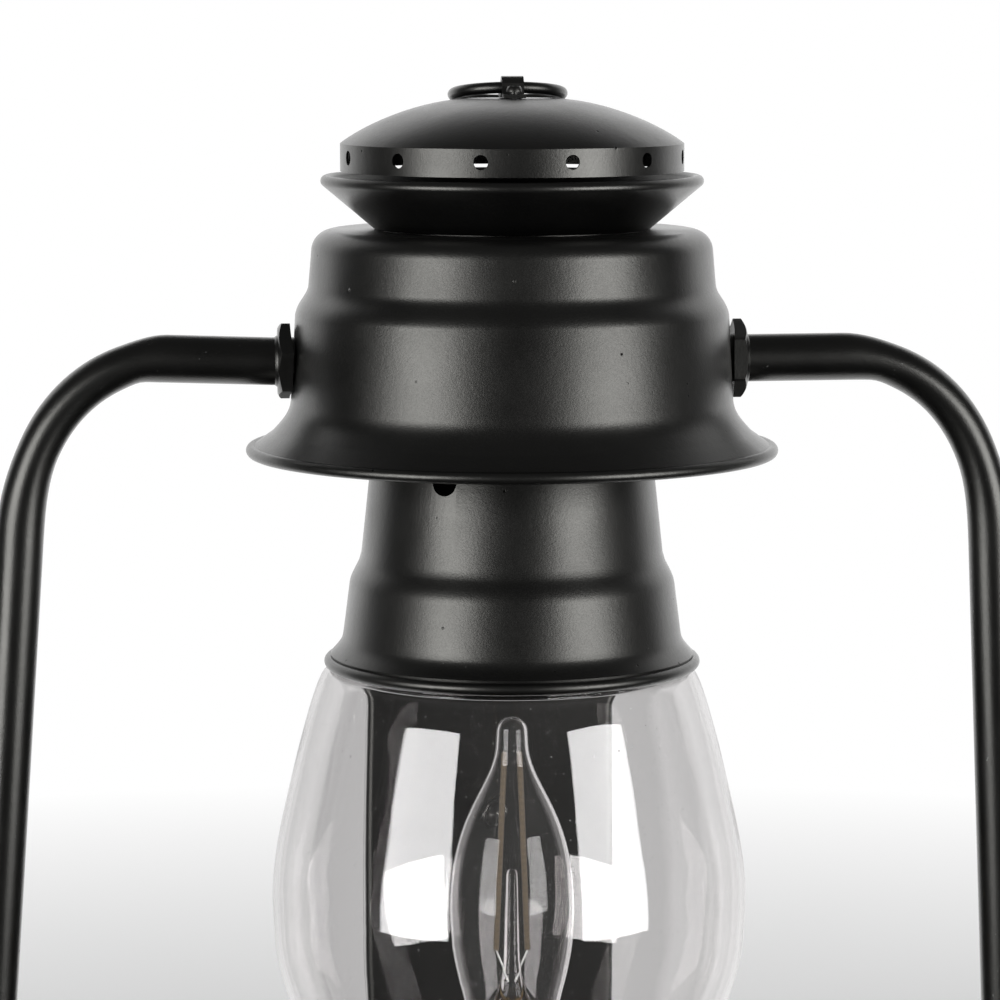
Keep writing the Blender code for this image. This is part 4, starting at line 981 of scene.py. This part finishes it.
def make_floor():
    size = 0.9
    shape = bmesh.new()
    bmesh.ops.create_circle(shape, cap_ends=True, segments=96, radius=size)
    mesh = bpy.data.meshes.new("studio_floor")
    shape.to_mesh(mesh)
    shape.free()
    floor = bpy.data.objects.new("studio_floor", mesh)
    bpy.context.scene.collection.objects.link(floor)
    floor.location = (AXIS.x, AXIS.y, cad_box[0].z - 0.5 * MM)
    look, tree, shader, place = new_finish("pale_floor")
    set_inputs(tree, shader, Base_Color=grey(0.88), Roughness=0.7)
    reach = node(tree, "VectorMath", {0: place}, operation="LENGTH").outputs["Value"]
    glow = node(tree, "Emission", {"Color": grey(1.0), "Strength": 1.0})
    edge = spread(tree, reach, 0.25, 0.85)
    blend = node(tree, "MixShader", {0: edge, 1: shader.outputs[0], 2: glow.outputs[0]})
    tree.links.new(blend.outputs[0], tree.nodes["Material Output"].inputs["Surface"])
    mesh.materials.append(look)
    floor.visible_glossy = False
    floor.visible_transmission = False


SOFTBOX_DISTANCE = 1.4
SOFTBOX_HALF_WIDTH = math.radians(17)
SOFTBOX_TOP = math.radians(19.5)
SOFTBOX_FOOT = math.radians(-15)
SOFTBOX_RADIANCE = 10.2
# Where each softbox stands and which way it faces, as azimuths from the camera's side.
SOFTBOXES = {
    "softbox_left": (math.radians(-46), math.radians(-30)),
    "softbox_right": (math.radians(51.5), math.radians(34)),
}
BACKDROP_HALF_ANGLE = math.radians(59)
BACKDROP_TOP = math.radians(37)
BACKDROP_BLUR = math.radians(5)
BACKDROP_LEVEL = 1.7
ROOM_LEVEL = 0.03  # how much light the dark room in front gives
CEILING_LEVEL = 0.12  # and the ceiling
CEILING_FOOT = math.radians(35)
THROUGH_LEVEL = 0.56
# Where the level changes, as the sine of the angle to the right of the view, its width, and by how much.
THROUGH_STEPS = ((-0.087, -0.008, 0.22), (0.060, 0.008, 0.13), (0.094, 0.008, 0.15))
CAMERA_AZIMUTH = math.radians(-4.7)
CAMERA_ELEVATION = math.radians(7.0)
CAMERA_DISTANCE = 1.1316
CAMERA_LENS = 147.6
AIM_BELOW_RIM = 14.33 * MM
AIM_LEFT = 3.312 * MM


def direction_at(azimuth, elevation):
    level = math.cos(elevation)
    return Vector((math.sin(azimuth) * level, -math.cos(azimuth) * level, math.sin(elevation)))


def make_camera():
    data = bpy.data.cameras.new("photo_camera")
    data.lens = CAMERA_LENS
    data.sensor_width = 36.0
    camera = bpy.data.objects.new("photo_camera", data)
    bpy.context.scene.collection.objects.link(camera)
    left = Vector((-math.cos(CAMERA_AZIMUTH), -math.sin(CAMERA_AZIMUTH), 0))
    aim = AXIS + UP * (RIM - AIM_BELOW_RIM) + left * AIM_LEFT
    back = direction_at(CAMERA_AZIMUTH, CAMERA_ELEVATION)
    camera.location = aim + back * CAMERA_DISTANCE
    camera.rotation_euler = (-back).to_track_quat("-Z", "Y").to_euler()
    bpy.context.scene.camera = camera


def make_softbox(name, azimuth, facing_azimuth):
    """An upright softbox at one azimuth, turned to face along another."""
    near = math.tan(azimuth - SOFTBOX_HALF_WIDTH - facing_azimuth)
    far = math.tan(azimuth + SOFTBOX_HALF_WIDTH - facing_azimuth)
    rise = SOFTBOX_DISTANCE / math.cos(azimuth - facing_azimuth)
    top = rise * math.tan(SOFTBOX_TOP)
    foot = rise * math.tan(SOFTBOX_FOOT)
    data = bpy.data.lights.new(name, "AREA")
    data.shape = "RECTANGLE"
    data.size = SOFTBOX_DISTANCE * (far - near)
    data.size_y = top - foot
    data.energy = SOFTBOX_RADIANCE * math.pi * data.size * data.size_y
    lamp = bpy.data.objects.new(name, data)
    bpy.context.scene.collection.objects.link(lamp)
    back = direction_at(CAMERA_AZIMUTH + facing_azimuth, 0)
    side = direction_at(CAMERA_AZIMUTH + facing_azimuth + math.pi / 2, 0)
    lamp.location = AXIS + UP * (RIM + (top + foot) / 2) + (back + side * (near + far) / 2) * SOFTBOX_DISTANCE
    lamp.rotation_euler = (-back).to_track_quat("-Z", "Y").to_euler()


def make_world():
    """A white backdrop behind, in a dark room. Past the lantern it looks white, and through glass grey."""
    world = bpy.data.worlds.new("studio")
    bpy.context.scene.world = world
    world.use_nodes = True
    tree = world.node_tree
    tree.nodes.clear()
    way = node(tree, "TexCoord").outputs["Generated"]
    level = node(tree, "VectorMath", {0: way, 1: (1, 1, 0)}, operation="MULTIPLY").outputs["Vector"]
    level = node(tree, "VectorMath", {0: level}, operation="NORMALIZE").outputs["Vector"]
    away = -direction_at(CAMERA_AZIMUTH, 0)
    behind = node(tree, "VectorMath", {0: level, 1: away}, operation="DOT_PRODUCT").outputs["Value"]
    side_start = math.cos(BACKDROP_HALF_ANGLE + BACKDROP_BLUR)
    side_end = math.cos(BACKDROP_HALF_ANGLE - BACKDROP_BLUR)
    behind = spread(tree, behind, side_start, side_end)
    height = node(tree, "SeparateXYZ", {"Vector": way}).outputs["Z"]
    top_end = math.sin(BACKDROP_TOP + BACKDROP_BLUR)
    top_start = math.sin(BACKDROP_TOP - BACKDROP_BLUR)
    below = spread(tree, height, top_end, top_start)
    ceiling_foot = math.sin(CEILING_FOOT)
    ceiling_full = math.sin(CEILING_FOOT + 3 * BACKDROP_BLUR)
    room = spread(tree, height, ceiling_foot, ceiling_full, ROOM_LEVEL, CEILING_LEVEL)
    # Through clean glass the backdrop's middle looks darker than its sides, with soft steps between.
    right = direction_at(CAMERA_AZIMUTH + math.pi / 2, 0)
    sideways = node(tree, "VectorMath", {0: level, 1: right}, operation="DOT_PRODUCT").outputs["Value"]
    through = THROUGH_LEVEL
    for edge, width, rise in THROUGH_STEPS:
        through = maths(tree, "ADD", spread(tree, sideways, edge, edge + width, 0, rise), through)
    path = node(tree, "LightPath")
    seen = chosen(tree, path.outputs["Is Singular Ray"], BACKDROP_LEVEL, through)
    backdrop = maths(tree, "MULTIPLY", maths(tree, "MULTIPLY", behind, below), seen)
    strength = chosen(tree, path.outputs["Is Camera Ray"], maths(tree, "ADD", backdrop, room), 1.0)
    background = node(tree, "Background", {"Color": grey(1.0), "Strength": strength})
    output = node(tree, "OutputWorld", {"Surface": background.outputs[0]})
    output.is_active_output = True


def chosen(tree, switch, off, on):
    return node(tree, "Mix", {0: switch, 2: off, 3: on}, data_type="FLOAT").outputs[0]


make_camera()
finish_cad_nodes()
make_hood()
for tube_side in SIDES:
    make_side_tube(tube_side)
    make_tube_nuts(tube_side)
make_neck()
make_crown()
make_lift_ring()
make_spring()
make_globe()
make_burner()
make_lamp_holder()
make_bulb()
make_tank()
make_filler()
make_switch()
make_wall_plate()
make_back_nipple()
make_floor()
for softbox_name, (stand_azimuth, face_azimuth) in SOFTBOXES.items():
    make_softbox(softbox_name, stand_azimuth, face_azimuth)
make_world()
bpy.context.scene.view_settings.view_transform = "Standard"
